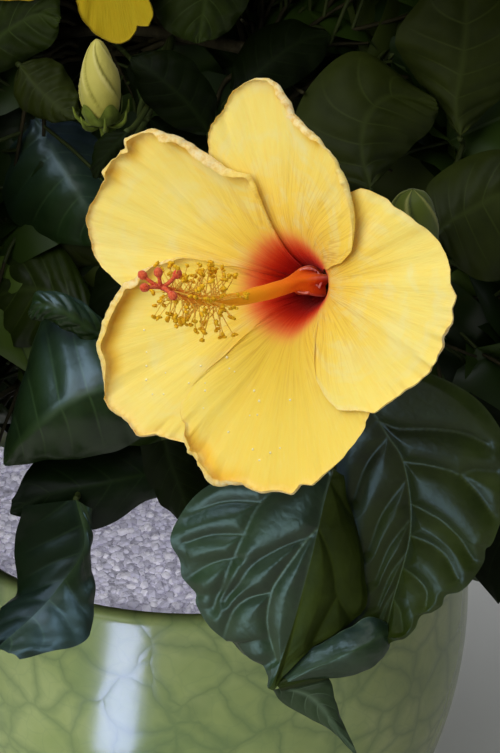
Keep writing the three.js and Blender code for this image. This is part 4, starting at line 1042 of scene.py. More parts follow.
    # calyx: a ribbed cup with five pointed lobes, thin bracts below it, and the flower stalk
    b = Build()
    ns, nr = 50, 16
    aa = np.linspace(0, 2 * np.pi, ns + 1)
    prof_r = np.interp(np.linspace(0, 1, nr), [0, 0.12, 0.4, 0.7, 1.0], [2.6, 5.6, 6.9, 7.2, 9.4])
    hh_ = np.linspace(-22, 0, nr)
    lobes = 0.5 + 0.5 * np.cos(5 * aa)
    P = np.zeros((nr, ns + 1, 3))
    for i in range(nr):
        q = i / (nr - 1)
        lift = 7.0 * lobes * smooth(q, 0.5, 1)
        r_ = prof_r[i] * (1 + 0.03 * np.cos(10 * aa)) + 1.5 * lobes * smooth(q, 0.7, 1)
        P[i] = np.stack([r_ * np.cos(aa), r_ * np.sin(aa), hh_[i] + lift - 3.0], -1)
    b.grid(place(P), 0)
    for k in range(7):
        a0 = 2 * np.pi * k / 7
        bract = np.array([[3.0, -24.5], [6.5, -21], [10.5, -15.5], [12.2, -9.5]])
        line_ = np.stack([bract[:, 0] * math.cos(a0), bract[:, 0] * math.sin(a0), bract[:, 1]], -1)
        tube(b, place(curve(list(line_), 6)), np.array([0.7, 1.0, 1.1, 1.0, 0.8, 0.5, 0.2]) * mm, 5, 0)
    foot = O - axis * 21 * mm
    tube(b, np.array([foot, foot - axis * 5 * mm, foot - axis * 11 * MM]), np.array([2.6, 2.1, 1.9]) * mm, 10, 0)
    STALKS.append((foot - axis * 10 * MM, -axis, 0.0019))
    ob = b.object(name + "_cup", [CALYX])
    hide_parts(name + "_calyx")
    return place


def basis(y_dir, up_hint):
    y = unit(y_dir)
    x = np.cross(y, up_hint)
    if np.linalg.norm(x) < 1e-4:
        x = np.cross(y, V(1, 0, 0))
    x = unit(x)
    return np.array([x, y, np.cross(x, y)])


STALKS = []  # where a stalk or a leaf's petiole starts, which way, and its radius: each grows on to the nearest bough
F_AXIS = V(-0.5299, -0.7622, 0.3718)
F_E1 = V(0.848, -0.4763, 0.2323)
F_E2 = V(0, 0.4384, 0.8988)
F_O = V(52.39, -190.61, 406.63) * MM
F_COLUMN = unit(V(-0.6262, -0.7142, 0.3127))
BLOOMS = []


def other_frame(axis, hint):
    z = unit(axis)
    x = unit(hint - z * (np.asarray(hint) @ z))
    return z, x, np.cross(z, x)


# the upper bloom's lowest petal is narrow, with a small lobe beside its tip
UPPER_PETAL = [(-1.0, -60, 12), (-0.86, -56, 25), (-0.72, -60, 37), (-0.62, -65, 45), (-0.52, -72, 55.3), (-0.44, -74, 62.4), (-0.37, -73.4, 67.1), (-0.3, -75, 71.7), (-0.24, -78.3, 74.8), (-0.19, -80.8, 74.7), (-0.15, -82.2, 72.1), (-0.1, -84, 75.6), (-0.04, -87.2, 78.7), (0.03, -90.8, 79.5), (0.1, -94.8, 77.5), (0.18, -98.9, 73.9), (0.27, -103, 69.2), (0.36, -106.4, 63.7), (0.45, -108.8, 58.1), (0.57, -111.8, 48.6), (0.7, -115.5, 39.2), (0.85, -118, 26), (1.0, -118, 12)]
place_front = bloom("bloom_front", F_O, unit(F_AXIS), F_E1, F_E2, 1.0, 240, 52, 8, 11, F_COLUMN, stamens=112)
BLOOMS.append((F_O, unit(F_AXIS), 1.0))
for name, O, axis, hint, radius, seed, mirror in (
    ("bloom_upper", V(-30, -76, 539), V(-0.27, -0.96, 0.08), V(0.963, -0.253, 0.216), 68, 211, False),
    ("bloom_right", V(192, 70, 452), V(0.83, 0.3, 0.47), V(-0.3, 0.95, 0.1), 76, 331, False),
    ("bloom_back", V(-46, 198, 430), V(-0.22, 0.88, 0.42), V(-1, -0.2, 0), 78, 451, False),
    ("bloom_left", V(-178, -8, 500), V(-0.78, -0.2, 0.59), V(0.2, -1, 0), 74, 571, False),
):
    z, x, y = other_frame(axis, hint)
    sc = radius / 84.0
    five = {pname: even_petal(turn, seed + 7 * i) for i, (pname, turn) in enumerate(
        [("top", 52), ("right", -20), ("bottom", -92), ("low_left", -164), ("high_left", -236)])}
    if name == "bloom_upper":
        five["bottom"] = (-92, UPPER_PETAL)
    bloom(name, O * MM, z, x, y, sc, 64, 24, 5, seed, unit(z + 0.10 * x - 0.04 * y), mirror, stamens=46, petals=five, skin=PETAL_SHADED if name == "bloom_upper" else None)
    BLOOMS.append((O * MM, z, sc))


# ------------------------------------------------------------------ buds
def bud(name, base, axis, scale, mat, tall, shape):
    b = Build()
    z, x, y = other_frame(V(*axis), V(1, 0.2, 0))
    base = V(*base) * MM

    def place(p):
        p = np.asarray(p) * scale * MM
        return base + p[..., 0:1] * x + p[..., 1:2] * y + p[..., 2:3] * z

    q = np.linspace(0, 1, 44)
    aa = np.linspace(0, 2 * np.pi, 81)
    prof = sample(np.interp(np.linspace(0, 1, 23), *zip(*shape)), 44)
    H = 3 + tall * q
    tw = aa[None] + 2.2 * q[:, None]
    furl = (np.mod(5 * tw / (2 * np.pi), 1.0))
    r = np.maximum(prof[:, None], 0.1) * (1 + 0.13 * (furl - 0.5) * smooth(q, 0.1, 0.4)[:, None])
    P = np.stack([r * np.cos(aa)[None], r * np.sin(aa)[None], np.broadcast_to(H[:, None], r.shape)], -1)
    P[..., 0] += (1.2 * q**2)[:, None]
    # painted shade in the recess under each overlapping petal edge
    sw = (1 - smooth(np.abs(furl - 0.02), 0.0, 0.16)) * smooth(q, 0.15, 0.4)[:, None]
    ridge = (1 - smooth(np.abs(furl - 0.86), 0.0, 0.12)) * smooth(q, 0.3, 0.6)[:, None] * 0.8
    b.grid(place(P), 0, along=np.repeat(q, 81), swirl=sw, ridge=ridge)
    # calyx lobes hug the lower half
    ns = 60
    aa = np.linspace(0, 2 * np.pi, ns + 1)
    lob = (0.5 + 0.5 * np.cos(5 * aa)) ** 0.7
    rows = []
    for i in range(14):
        qq = i / 13
        hgt = qq * ((7.5 + 6.5 * lob) if shape is SLIM else (13 + 11 * lob))
        rr_ = np.interp(hgt, [0, 3, 8, 16, 26], [2.4, 7.2, 8.9, 9.4, 9.4] if shape is SLIM else [2.4, 7.6, 9.3, 9.7, 9.5]) + 0.25 * np.cos(10 * aa)
        rows.append(np.stack([rr_ * np.cos(aa), rr_ * np.sin(aa), hgt - 0.5], -1))
    b.grid(place(np.array(rows)), 1)
    for k in range(7):
        a0 = 2 * np.pi * k / 7 + 0.2
        br = np.array([[2.5, 0.2], [7.5, 0.6], [11.5, 4.0], [12.6, 9.0]])
        line_ = np.stack([br[:, 0] * math.cos(a0), br[:, 0] * math.sin(a0), br[:, 1]], -1)
        tube(b, place(curve(list(line_), 6)), np.array([0.8, 1.1, 1.2, 1.1, 0.9, 0.6, 0.25]) * scale * MM, 5, 1)
    tube(b, np.array([base + z * 0.002, base - z * 0.004, base - z * 0.010]), np.array([2.4, 1.8, 1.6]) * MM * scale, 8, 1)
    STALKS.append((base - z * 0.009, -z, 0.0016))
    ob = b.object(name + "_furled", [mat, CALYX])
    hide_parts(name)
    return base, z


SLIM = [(0, 5.5), (0.08, 7.4), (0.25, 8.8), (0.42, 8.9), (0.58, 8.0), (0.74, 6.2), (0.88, 4.0), (0.96, 2.1), (1.0, 0.3)]
BLUNT = [(0, 5.5), (0.08, 7.6), (0.25, 9.2), (0.45, 9.6), (0.66, 9.3), (0.8, 8.4), (0.89, 6.9), (0.96, 4.2), (1.0, 0.3)]
PLUMP = [(0, 5.5), (0.08, 7.6), (0.25, 8.9), (0.45, 8.8), (0.62, 7.6), (0.78, 5.6), (0.9, 3.4), (0.97, 1.7), (1.0, 0.2)]
BUDS = [
    ("bud_upper_left", (-32, -142, 455), (-0.06, -0.15, 1), 0.9, BUD_YELLOW, 37.5, SLIM),
    ("bud_right", (90, -157, 384), (-0.05, -0.1, 1), 1.1, BUD_GREEN, 44.0, BLUNT),
    ("bud_back", (118, 158, 440), (0.5, 0.62, 0.75), 0.95, BUD_YELLOW, 42.0, PLUMP),
    ("bud_top", (-20, -30, 668), (-0.25, -0.3, 1), 0.9, BUD_GREEN, 42.0, PLUMP),
]
for row in BUDS:
    bud(*row)

# ------------------------------------------------------------------ leaf shapes
OUTLINE_T = np.array([0, 0.02, 0.06, 0.13, 0.24, 0.35, 0.47, 0.60, 0.72, 0.82, 0.9, 0.96, 1.0])
OUTLINE_W = np.array([0.03, 0.34, 0.62, 0.86, 0.99, 1.0, 0.93, 0.77, 0.56, 0.36, 0.19, 0.08, 0.0])


def outline(t, teeth, depth):
    w = np.interp(t, OUTLINE_T, OUTLINE_W)
    saw = 1 - np.mod(t * teeth + 0.1, 1.0)
    return w * (1 - depth * saw * smooth(t, 0.2, 0.4) * (1 - smooth(t, 0.93, 1.0)))


def vein_fields(T, S, pairs):
    """The side veins' phase, and the bulge of the blade between them."""
    a = np.abs(S)
    q = (T - 0.20 * a**1.15 + 0.02) * pairs
    bulge = np.abs(np.sin(np.pi * q)) ** 0.7
    bulge = bulge * smooth(a, 0.0, 0.22) * (1 - 0.75 * smooth(a, 0.8, 1.0))
    return q, bulge


def leaf_template(rows, half, fold, droop, wave, quilt, phase, width=0.31, teeth=11):
    """A leaf one unit long: base at the origin, tip along +Y, upper face +Z."""
    t = np.linspace(0, 1, rows + 1)
    side = np.concatenate([[0, 0.04], np.linspace(0.04, 1, half)[1:]])
    s = np.concatenate([-side[:0:-1], side])
    T, S = np.meshgrid(t, s, indexing="ij")
    w = outline(T, teeth, 0.09)
    q, bulge = vein_fields(T, S, 5.5)
    x = width * w * S * math.cos(fold)
    z = width * w * np.abs(S) * math.sin(fold) + quilt * bulge * w
    z = z + wave * np.sin(2 * np.pi * (T * 2.3 + phase) + (S > 0) * 2.1) * np.abs(S) ** 1.6 * w
    z = z - 0.16 * width * S**2 * w
    bend = droop * t
    yy = np.concatenate([[0], np.cumsum(np.cos((bend[1:] + bend[:-1]) / 2) / rows)])
    zz = np.concatenate([[0], -np.cumsum(np.sin((bend[1:] + bend[:-1]) / 2) / rows)])
    y = yy[:, None] + np.sin(bend)[:, None] * z
    z = zz[:, None] + np.cos(bend)[:, None] * z
    pts = np.stack([x, y, z], -1)
    r, c = T.shape
    i, j = np.meshgrid(np.arange(r - 1), np.arange(c - 1), indexing="ij")
    i, j = i.ravel(), j.ravel()
    faces = np.stack([i * c + j, i * c + j + 1, (i + 1) * c + j + 1, (i + 1) * c + j], 1)
    rib = (np.abs(j - (c // 2 - 0.5)) < 1).astype(int)
    edge_pts = pts[:, [0, c // 2, c - 1]].reshape(-1, 3)[::2]
    return pts.reshape(-1, 3), faces, rib, edge_pts


TEMPLATES = [leaf_template(12, 4, f, d, w, 0.040, p, wd) for f, d, w, p, wd in (
    (0.26, 0.55, 0.035, 0.1, 0.36), (0.40, 0.85, 0.045, 0.35, 0.34), (0.14, 0.35, 0.050, 0.6, 0.38),
    (0.52, 1.05, 0.030, 0.8, 0.36), (0.32, 0.15, 0.055, 0.2, 0.37), (0.20, 1.25, 0.040, 0.45, 0.33))]


# ------------------------------------------------------------------ leaves of the close view, each shaped on its own
def line_distance(px, py, lines):
    """Distance in pixels to the nearest of several veins, each (points, strength), and that vein's strength."""
    best, power = np.full(px.shape, 1e9), np.zeros(px.shape)
    for pts, strength in lines:
        c = curve([V(x, y, 0) for x, y in pts], 4 * len(pts))[:, :2]
        for k, (a, e) in enumerate(zip(c[:-1], c[1:])):
            d = e - a
            t = np.clip(((px - a[0]) * d[0] + (py - a[1]) * d[1]) / (d @ d + 1e-9), 0, 1)
            r = np.hypot(px - a[0] - t * d[0], py - a[1] - t * d[1])
            closer = r < best
            best = np.where(closer, r, best)
            power = np.where(closer, strength * (1 - 0.55 * k / len(c)), power)
    return best, power


GLOSSY = []  # leaves that face the open sky


def blade(name, mid, left, right, mat, rows=70, half=18, pairs=6.5, bulge_mm=1.6, seed=0, waves=1.2, veins=None, arch_mm=2.2, rim_highlight=0.0, lumpy=0.14, shady=0.0, halves=None):
    """A leaf between two margins: three lines of points in space, from the base to the tip."""
    M, L, R = (sample(np.array(q), rows + 1) for q in (mid, left, right))
    s = np.concatenate([-np.linspace(1, 0, half, endpoint=False), np.linspace(0, 1, half + 1)])
    t = np.linspace(0, 1, rows + 1)
    T, S = np.meshgrid(t, s, indexing="ij")
    P = np.where(S[..., None] < 0, M[:, None] + (L - M)[:, None] * (-S)[..., None], M[:, None] + (R - M)[:, None] * S[..., None])
    du = np.gradient(P, axis=1)
    dv = np.gradient(P, axis=0)
    N = unit(np.cross(du, dv))
    toward = unit(EYE - P)
    N = N * np.sign(np.sum(N * toward, -1).mean())
    scale = np.linalg.norm(L - R, axis=1)[:, None] / 0.06
    width = np.linalg.norm(np.where(S[..., None] < 0, (L - M)[:, None], (R - M)[:, None]), axis=-1)
    rib = np.exp(-((np.abs(S) * width / 0.0009) ** 2)) * (1 - 0.5 * T)
    if veins:
        px, py, _z = seen(P)
        d, power = line_distance(px, py, veins)
        bulge = (1 - np.exp(-((d / 8.5) ** 1.4))) * (1 - 0.6 * smooth(np.abs(S), 0.86, 1.0))
        vein = np.exp(-((d / 1.0) ** 2)) * power
        vq, vs = np.full(P.shape[:2], 0.5), np.ones(P.shape[:2])
    elif pairs:
        vq, bulge = vein_fields(T, S, pairs)
        vs = np.abs(S)
        vein = rib * 0.8
    else:
        vq, vs, bulge, vein = np.full(P.shape[:2], 0.5), np.ones(P.shape[:2]), np.zeros(P.shape[:2]), rib * 0.3
    arch = (0.9 - 0.9 * (np.abs(S) - 0.5) ** 2 * 4)
    lumps = ripple(T * 29 + S * 6, seed + 50, 2) * ripple(S * 15 - T * 4, seed + 60, 2) * lumpy
    P = P + N * ((bulge * bulge_mm + arch * arch_mm * np.clip(scale, 0, 1.3) + lumps + ripple(T * 17 + S * 3, seed, 2) * waves * np.abs(S) ** 2) * MM)[..., None]
    # painted highlight: a thin pale line along the left margin
    if rim_highlight:
        vein = np.maximum(vein, rim_highlight * smooth(-S, 0.955, 0.985))
    b = Build()
    flip = float(np.sum(np.cross(du, dv) * toward, -1).mean()) < 0
    uv = np.stack([(S + 1) / 2 * 0.96 + 0.02, T * 0.96 + 0.02], -1)
    maps = {"vein": np.clip(vein, 0, 1), "quilt": bulge * 0.8, "vq": vq, "vs": vs, "shady": smooth(S, -0.03, 0.03) * shady}
    for k, part in enumerate((slice(0, half + 1), slice(half, None)) if halves else (slice(None),)):
        b.grid(P[:, part], k, uv[:, part], flip=flip, **{key: m[:, part] for key, m in maps.items()})
    ob = b.object(name, list(halves or [mat]), uvs=True)
    if mat in (LEAF_HERO_COOL, LEAF_HERO_BLUE):
        GLOSSY.append(ob)
    base = P[0, half]
    STALKS.append((base, unit(base - P[3, half]) * 0.5 + LOOK * 0.8, 0.0012))
    return ob, P


def px_line(points, depths):
    """Pixels with a depth that runs smoothly from base to tip."""
    d = sample(depths, len(points)) if len(depths) != len(points) else np.array(depths, float)
    return [at(x, y, z) for (x, y), z in zip(points, d)]


RIGHT_VEINS = [
    ([(372, 410), (388, 436), (402, 458), (409, 490), (411, 520), (409, 545), (402, 570), (393, 600), (386, 628)], 0.75),
    ([(376, 420), (398, 427), (432, 427), (462, 431), (487, 443)], 0.5),
    ([(404, 461), (432, 464), (458, 472), (478, 490), (495, 516)], 0.62),
    ([(461, 473), (475, 469), (497, 471)], 0.4),
    ([(409, 503), (428, 510), (448, 522), (464, 540), (474, 560)], 0.5),
    ([(410, 535), (432, 543), (448, 557), (458, 578)], 0.55),
    ([(403, 568), (418, 577), (428, 590), (427, 606)], 0.5),
    ([(394, 600), (402, 612), (404, 632)], 0.35),
    ([(388, 436), (368, 462), (356, 496)], 0.2), ([(407, 478), (384, 510), (370, 548)], 0.22),
    ([(411, 518), (390, 545), (376, 580)], 0.22), ([(408, 550), (390, 575), (378, 606)], 0.22), ([(398, 584), (386, 604), (378, 622)], 0.2),
]
LEFT_VEINS = [
    ([(330, 476), (324, 500), (318, 527), (306, 578), (293, 632), (281, 676)], 0.7),
    ([(317, 529), (305, 542), (292, 560), (276, 582), (270, 600), (268, 625), (277, 660)], 0.7),
    ([(292, 480), (264, 500), (244, 536), (228, 572), (214, 607)], 0.22),
    ([(246, 534), (215, 534), (186, 542)], 0.15), ([(238, 556), (214, 563), (186, 579)], 0.15), ([(262, 502), (226, 502), (188, 515)], 0.12),
    ([(269, 592), (249, 597), (234, 610), (224, 636)], 0.4),
    ([(312, 536), (280, 548), (252, 566), (226, 600)], 0.12),
    ([(319, 530), (328, 553), (333, 575), (336, 594), (351, 619)], 0.45),
    ([(335, 597), (324, 617), (313, 641)], 0.3),
    ([(331, 482), (345, 507), (358, 524), (364, 543)], 0.3),
]
DEPTH_R = [0.752, 0.757, 0.763, 0.768, 0.775, 0.780, 0.787, 0.793, 0.797, 0.797, 0.795, 0.794]
ob, P = blade(
    "leaf_close_right",
    px_line([(352, 384), (372, 412), (396, 447), (406, 472), (411, 503), (410, 532), (403, 566), (393, 600), (384, 632), (352, 660), (312, 678), (278, 690)], DEPTH_R),
    px_line([(346, 386), (340, 408), (330, 435), (322, 470), (320, 505), (322, 535), (326, 565), (328, 598), (326, 625), (312, 648), (292, 668), (276, 688)], [0.756, 0.768, 0.777, 0.786, 0.792, 0.797, 0.801, 0.804, 0.804, 0.802, 0.798, 0.795]),
    px_line([(362, 378), (400, 366), (435, 374), (465, 389), (486, 407), (503, 432), (513, 462), (510, 498), (500, 525), (493, 543), (487, 548), (484, 562), (470, 583), (459, 592), (447, 595), (443, 605), (433, 612), (422, 616), (417, 629), (405, 640), (389, 646), (383, 657), (366, 670), (345, 675), (318, 682), (281, 692)],
            [0.748, 0.744, 0.742, 0.743, 0.744, 0.747, 0.751, 0.756, 0.760, 0.763, 0.765, 0.768, 0.771, 0.774, 0.777, 0.780, 0.783, 0.786, 0.788, 0.790, 0.792, 0.793, 0.794, 0.794, 0.793, 0.793]),
    LEAF_HERO, rows=230, half=80, seed=3, bulge_mm=2.6, waves=1.0, veins=RIGHT_VEINS, arch_mm=1.6)
CLOSE_PTS = [P]
# the right half of this leaf, which faces away from the light, takes the painted-shade copy
ob, P = blade(
    "leaf_close_left",
    px_line([(334, 470), (326, 496), (319, 526), (311, 560), (303, 590), (293, 625), (283, 655), (272, 688)], [0.770, 0.771, 0.773, 0.776, 0.780, 0.785, 0.789, 0.794]),
    px_line([(318, 462), (280, 466), (240, 474), (208, 486), (188, 504), (174, 528), (172, 543), (180, 560), (182, 578), (196, 592), (197, 604), (209, 624), (225, 639), (231, 641), (244, 654), (262, 661), (270, 674), (272, 686)],
            [0.776, 0.778, 0.781, 0.784, 0.787, 0.789, 0.790, 0.791, 0.792, 0.793, 0.794, 0.795, 0.795, 0.796, 0.796, 0.796, 0.795, 0.795]),
    px_line([(340, 476), (350, 505), (358, 535), (364, 572), (364, 606), (338, 632), (302, 656), (274, 687)], [0.774, 0.780, 0.785, 0.789, 0.793, 0.793, 0.792, 0.794]),
    LEAF_HERO_COOL, rows=170, half=60, seed=5, bulge_mm=2.2, waves=1.0, veins=LEFT_VEINS, arch_mm=1.4, halves=(LEAF_HERO_COOL, LEAF_HERO_SHADED_HALF))
CLOSE_PTS.append(P)
# the lower margin of the right leaf curls forward, glossy, with a thin pale edge that is a painted highlight
blade(
    "leaf_close_curl",
    px_line([(388, 632), (381, 635), (369, 643), (353, 651), (334, 660), (310, 670), (284, 684)], [0.793, 0.789, 0.786, 0.785, 0.787, 0.789, 0.793]),
    px_line([(386, 621), (368, 617), (352, 626), (337, 634), (320, 644), (300, 655), (279, 682)], [0.796, 0.792, 0.791, 0.791, 0.792, 0.793, 0.794]),
    px_line([(391, 641), (387, 652), (379, 662), (365, 671), (346, 677), (318, 679), (283, 688)], [0.793, 0.791, 0.790, 0.790, 0.791, 0.792, 0.794]),
    LEAF_HERO_COOL, rows=70, half=20, seed=9, bulge_mm=0.4, waves=0.4, pairs=0, arch_mm=2.6, rim_highlight=1.0, lumpy=0.12)
STALKS.pop()
# the long drip tip, twisted so that its paler underside shows at the right
blade(
    "leaf_close_tip",
    px_line([(280, 688), (305, 694), (322, 708), (338, 731), (356, 754)], [0.794, 0.793, 0.791, 0.789, 0.787]),
    px_line([(272, 689), (284, 704), (309, 718), (334, 733), (355, 755)], [0.795, 0.795, 0.793, 0.790, 0.787]),
    px_line([(300, 680), (328, 678), (335, 700), (344, 725), (357, 753)], [0.795, 0.795, 0.794, 0.792, 0.787]),
    LEAF_UNDER, rows=60, half=14, seed=6, bulge_mm=0.5, waves=0.4, arch_mm=1.0)
STALKS.pop()

PLACED = [
    # name, midrib pixels, left margin, right margin, depths along it, depth added at the left and right margins, material, arch
    ("leaf_glossy_left", [(122, 376), (103, 387), (67, 403), (38, 426), (16, 447), (4, 463)], [(120, 342), (106, 326), (80, 300), (48, 302), (26, 372), (3, 461)], [(132, 384), (146, 428), (122, 449), (80, 457), (40, 462), (5, 466)], [0.790, 0.787, 0.784, 0.786, 0.792, 0.798], 0.036, 0.014, LEAF_HERO_BLUE),
    ("leaf_glossy_curl", [(108, 334), (92, 330), (74, 318), (56, 308), (40, 306), (30, 316)], [(110, 326), (96, 314), (76, 300), (56, 292), (38, 292), (28, 312)], [(106, 342), (88, 342), (70, 332), (52, 322), (40, 320), (32, 320)], [0.806, 0.800, 0.796, 0.795, 0.797, 0.800], 0.006, 0.004, LEAF_HERO_BLUE),
    ("leaf_strip_left", [(192, 470), (150, 474), (100, 484), (50, 494), (10, 511)], [(190, 462), (150, 446), (100, 450), (40, 458), (12, 500)], [(194, 486), (150, 500), (100, 528), (50, 522), (10, 514)], [0.815, 0.812, 0.808, 0.806, 0.806], 0.012, 0.006, LEAF_HERO_SHADE),
    ("leaf_hanging_left", [(76, 500), (84, 546), (58, 588), (32, 617), (-6, 650)], [(24, 505), (14, 545), (18, 588), (2, 608), (-12, 640)], [(92, 508), (90, 548), (94, 600), (84, 642), (20, 658)], [0.802, 0.799, 0.794, 0.784, 0.768], 0.008, 0.010, LEAF_HERO_BLUE),
    ("leaf_cool_left", [(96, 330), (74, 306), (48, 292), (18, 290), (-14, 300)], [(92, 338), (70, 342), (40, 346), (10, 344), (-14, 306)], [(100, 322), (78, 268), (48, 240), (12, 246), (-14, 296)], [0.830, 0.830, 0.834, 0.838, 0.842], 0.004, 0.016, LEAF_HERO),
    ("leaf_upper_left", [(34, 118), (52, 148), (72, 184), (92, 216), (104, 246)], [(24, 124), (2, 160), (10, 216), (50, 240), (100, 248)], [(44, 114), (88, 130), (116, 168), (120, 214), (106, 246)], [0.846, 0.840, 0.834, 0.832, 0.832], 0.014, 0.018, LEAF_HERO_BLUE),
    ("leaf_under_upper_left", [(-6, 200), (24, 226), (60, 244), (90, 250), (120, 262)], [(-6, 206), (20, 258), (60, 268), (92, 266), (120, 264)], [(-6, 190), (30, 190), (70, 206), (100, 226), (122, 260)], [0.856, 0.852, 0.848, 0.846, 0.842], 0.006, 0.004, LEAF_HERO_OLIVE),
    ("leaf_corner", [(-30, 60), (-10, 44), (14, 26), (38, 14), (60, 20)], [(-30, 84), (-4, 74), (26, 60), (52, 44), (61, 24)], [(-40, -30), (-10, -40), (26, -30), (56, -8), (61, 18)], [0.820, 0.818, 0.816, 0.814, 0.814], 0.010, -0.004, LEAF_HERO),
    ("leaf_top", [(226, -60), (216, -36), (209, -12), (203, 14), (198, 43)], [(176, -60), (154, -34), (150, -4), (164, 28), (194, 43)], [(256, -60), (262, -30), (250, -2), (230, 30), (202, 43)], [0.806, 0.806, 0.806, 0.808, 0.812], 0.006, 0.008, LEAF_HERO),
    ("leaf_olive_behind", [(370, 188), (362, 150), (368, 116), (392, 96), (437, 106)], [(366, 190), (318, 168), (296, 112), (352, 52), (435, 98)], [(374, 186), (392, 166), (412, 146), (428, 132), (438, 114)], [0.806, 0.808, 0.810, 0.814, 0.820], 0.008, 0.008, LEAF_HERO_OLIVE),
    ("leaf_upper_right", [(460, 138), (456, 104), (462, 66), (466, 24), (466, -24)], [(456, 134), (436, 100), (404, 62), (398, 30), (440, -24)], [(462, 136), (490, 108), (520, 72), (530, 20), (500, -24)], [0.826, 0.824, 0.822, 0.820, 0.820], 0.010, 0.010, LEAF_HERO_OLIVE),
    ("leaf_right", [(432, 236), (450, 222), (470, 210), (505, 192), (540, 186)], [(428, 226), (426, 190), (456, 162), (505, 150), (540, 172)], [(436, 240), (446, 252), (476, 279), (512, 272), (540, 210)], [0.800, 0.800, 0.802, 0.806, 0.812], 0.010, 0.006, LEAF_HERO_OLIVE),
    ("leaf_right_edge", [(478, 150), (492, 120), (510, 96), (530, 76), (552, 60)], [(474, 144), (476, 112), (494, 80), (520, 62), (550, 58)], [(484, 154), (506, 142), (530, 122), (546, 98), (554, 62)], [0.850, 0.850, 0.852, 0.856, 0.860], 0.0, 0.0, LEAF_HERO),
    ("leaf_between", [(132, 60), (150, 84), (172, 108), (196, 128), (232, 140)], [(126, 70), (138, 108), (166, 134), (200, 146), (232, 144)], [(140, 50), (172, 66), (200, 88), (220, 112), (234, 136)], [0.846, 0.846, 0.848, 0.850, 0.850], 0.004, 0.010, LEAF_HERO_DEEP_SHADE),
    ("leaf_behind_top", [(236, 104), (252, 84), (270, 66), (292, 52), (316, 50)], [(230, 100), (236, 70), (256, 46), (286, 34), (316, 46)], [(242, 110), (276, 104), (302, 92), (316, 76), (318, 54)], [0.846, 0.846, 0.848, 0.850, 0.854], 0.010, 0.0, LEAF_HERO),
    ("leaf_far_right", [(452, 400), (474, 424), (494, 470), (506, 530), (500, 602)], [(440, 404), (452, 440), (462, 500), (466, 560), (498, 604)], [(470, 392), (510, 420), (534, 470), (540, 540), (504, 600)], [0.830, 0.830, 0.830, 0.832, 0.834], 0.0, 0.0, LEAF_HERO_DEEP_SHADE),
    ("leaf_beneath_left", [(164, 440), (170, 462), (180, 488), (188, 512), (196, 540)], [(140, 446), (146, 476), (160, 502), (178, 520), (194, 541)], [(186, 438), (200, 462), (210, 486), (210, 514), (198, 540)], [0.800, 0.800, 0.800, 0.800, 0.800], 0.006, 0.004, LEAF_HERO_DEEP_SHADE),
    ("leaf_notch_left", [(150, 240), (138, 262), (124, 290), (112, 318), (100, 350)], [(134, 236), (106, 258), (92, 288), (90, 322), (98, 349)], [(162, 244), (164, 276), (154, 310), (132, 340), (103, 350)], [0.822, 0.820, 0.818, 0.816, 0.814], 0.008, 0.004, LEAF_HERO_DEEP_SHADE),
    ("leaf_shade_top", [(300, -40), (290, -10), (276, 16), (262, 40), (244, 62)], [(262, -44), (252, -20), (240, 8), (232, 34), (240, 60)], [(336, -36), (332, -4), (316, 26), (288, 50), (250, 64)], [0.850, 0.848, 0.846, 0.846, 0.846], 0.004, 0.012, LEAF_HERO_DEEP_SHADE),
    ("leaf_shade_right", [(400, -30), (386, 0), (368, 24), (346, 42), (322, 52)], [(364, -34), (346, -12), (330, 12), (318, 34), (320, 50)], [(424, -20), (414, 16), (396, 44), (366, 60), (326, 56)], [0.856, 0.854, 0.852, 0.850, 0.850], 0.004, 0.010, LEAF_HERO_DEEP_SHADE),
    ("leaf_dusk_a", [(208, 132), (192, 108), (172, 88), (150, 70), (131, 58)], [(204, 136), (176, 128), (150, 108), (136, 86), (130, 60)], [(214, 130), (216, 98), (200, 70), (172, 50), (133, 55)], [0.792, 0.788, 0.786, 0.786, 0.788], 0.004, 0.008, LEAF_HERO_DEEP_SHADE),
    ("leaf_dusk_b", [(236, 92), (256, 74), (278, 56), (300, 42), (328, 34)], [(230, 88), (236, 56), (258, 30), (290, 20), (327, 31)], [(242, 98), (274, 94), (304, 78), (324, 58), (330, 37)], [0.816, 0.818, 0.820, 0.822, 0.824], 0.008, 0.002, LEAF_HERO_DEEP_SHADE),
    ("leaf_dusk_c", [(20, 66), (34, 84), (48, 98), (62, 110), (78, 118)], [(17, 70), (14, 96), (30, 114), (54, 122), (77, 120)], [(24, 62), (50, 58), (68, 74), (78, 96), (80, 116)], [0.822, 0.820, 0.818, 0.816, 0.816], 0.006, 0.006, LEAF_HERO_OLIVE),
    ("leaf_dusk_d", [(126, 132), (118, 142), (109, 152), (101, 164), (94, 178)], [(120, 129), (104, 134), (94, 148), (91, 164), (93, 178)], [(132, 134), (130, 150), (121, 164), (109, 174), (96, 179)], [0.770, 0.770, 0.771, 0.772, 0.774], 0.003, 0.003, LEAF_HERO_DEEP_SHADE),
    ("leaf_dusk_e", [(150, 120), (166, 134), (184, 144), (204, 150), (226, 152)], [(146, 126), (156, 148), (176, 160), (202, 162), (225, 154)], [(154, 116), (176, 116), (198, 124), (216, 136), (227, 150)], [0.800, 0.800, 0.802, 0.804, 0.806], 0.004, 0.004, LEAF_HERO_DEEP_SHADE),
    ("leaf_shade_left", [(30, 84), (44, 62), (58, 38), (70, 14), (78, -14)], [(22, 80), (26, 54), (40, 28), (56, 6), (74, -16)], [(40, 92), (70, 82), (90, 54), (94, 20), (82, -12)], [0.856, 0.854, 0.852, 0.850, 0.850], 0.004, 0.006, LEAF_HERO_DEEP_SHADE),
]
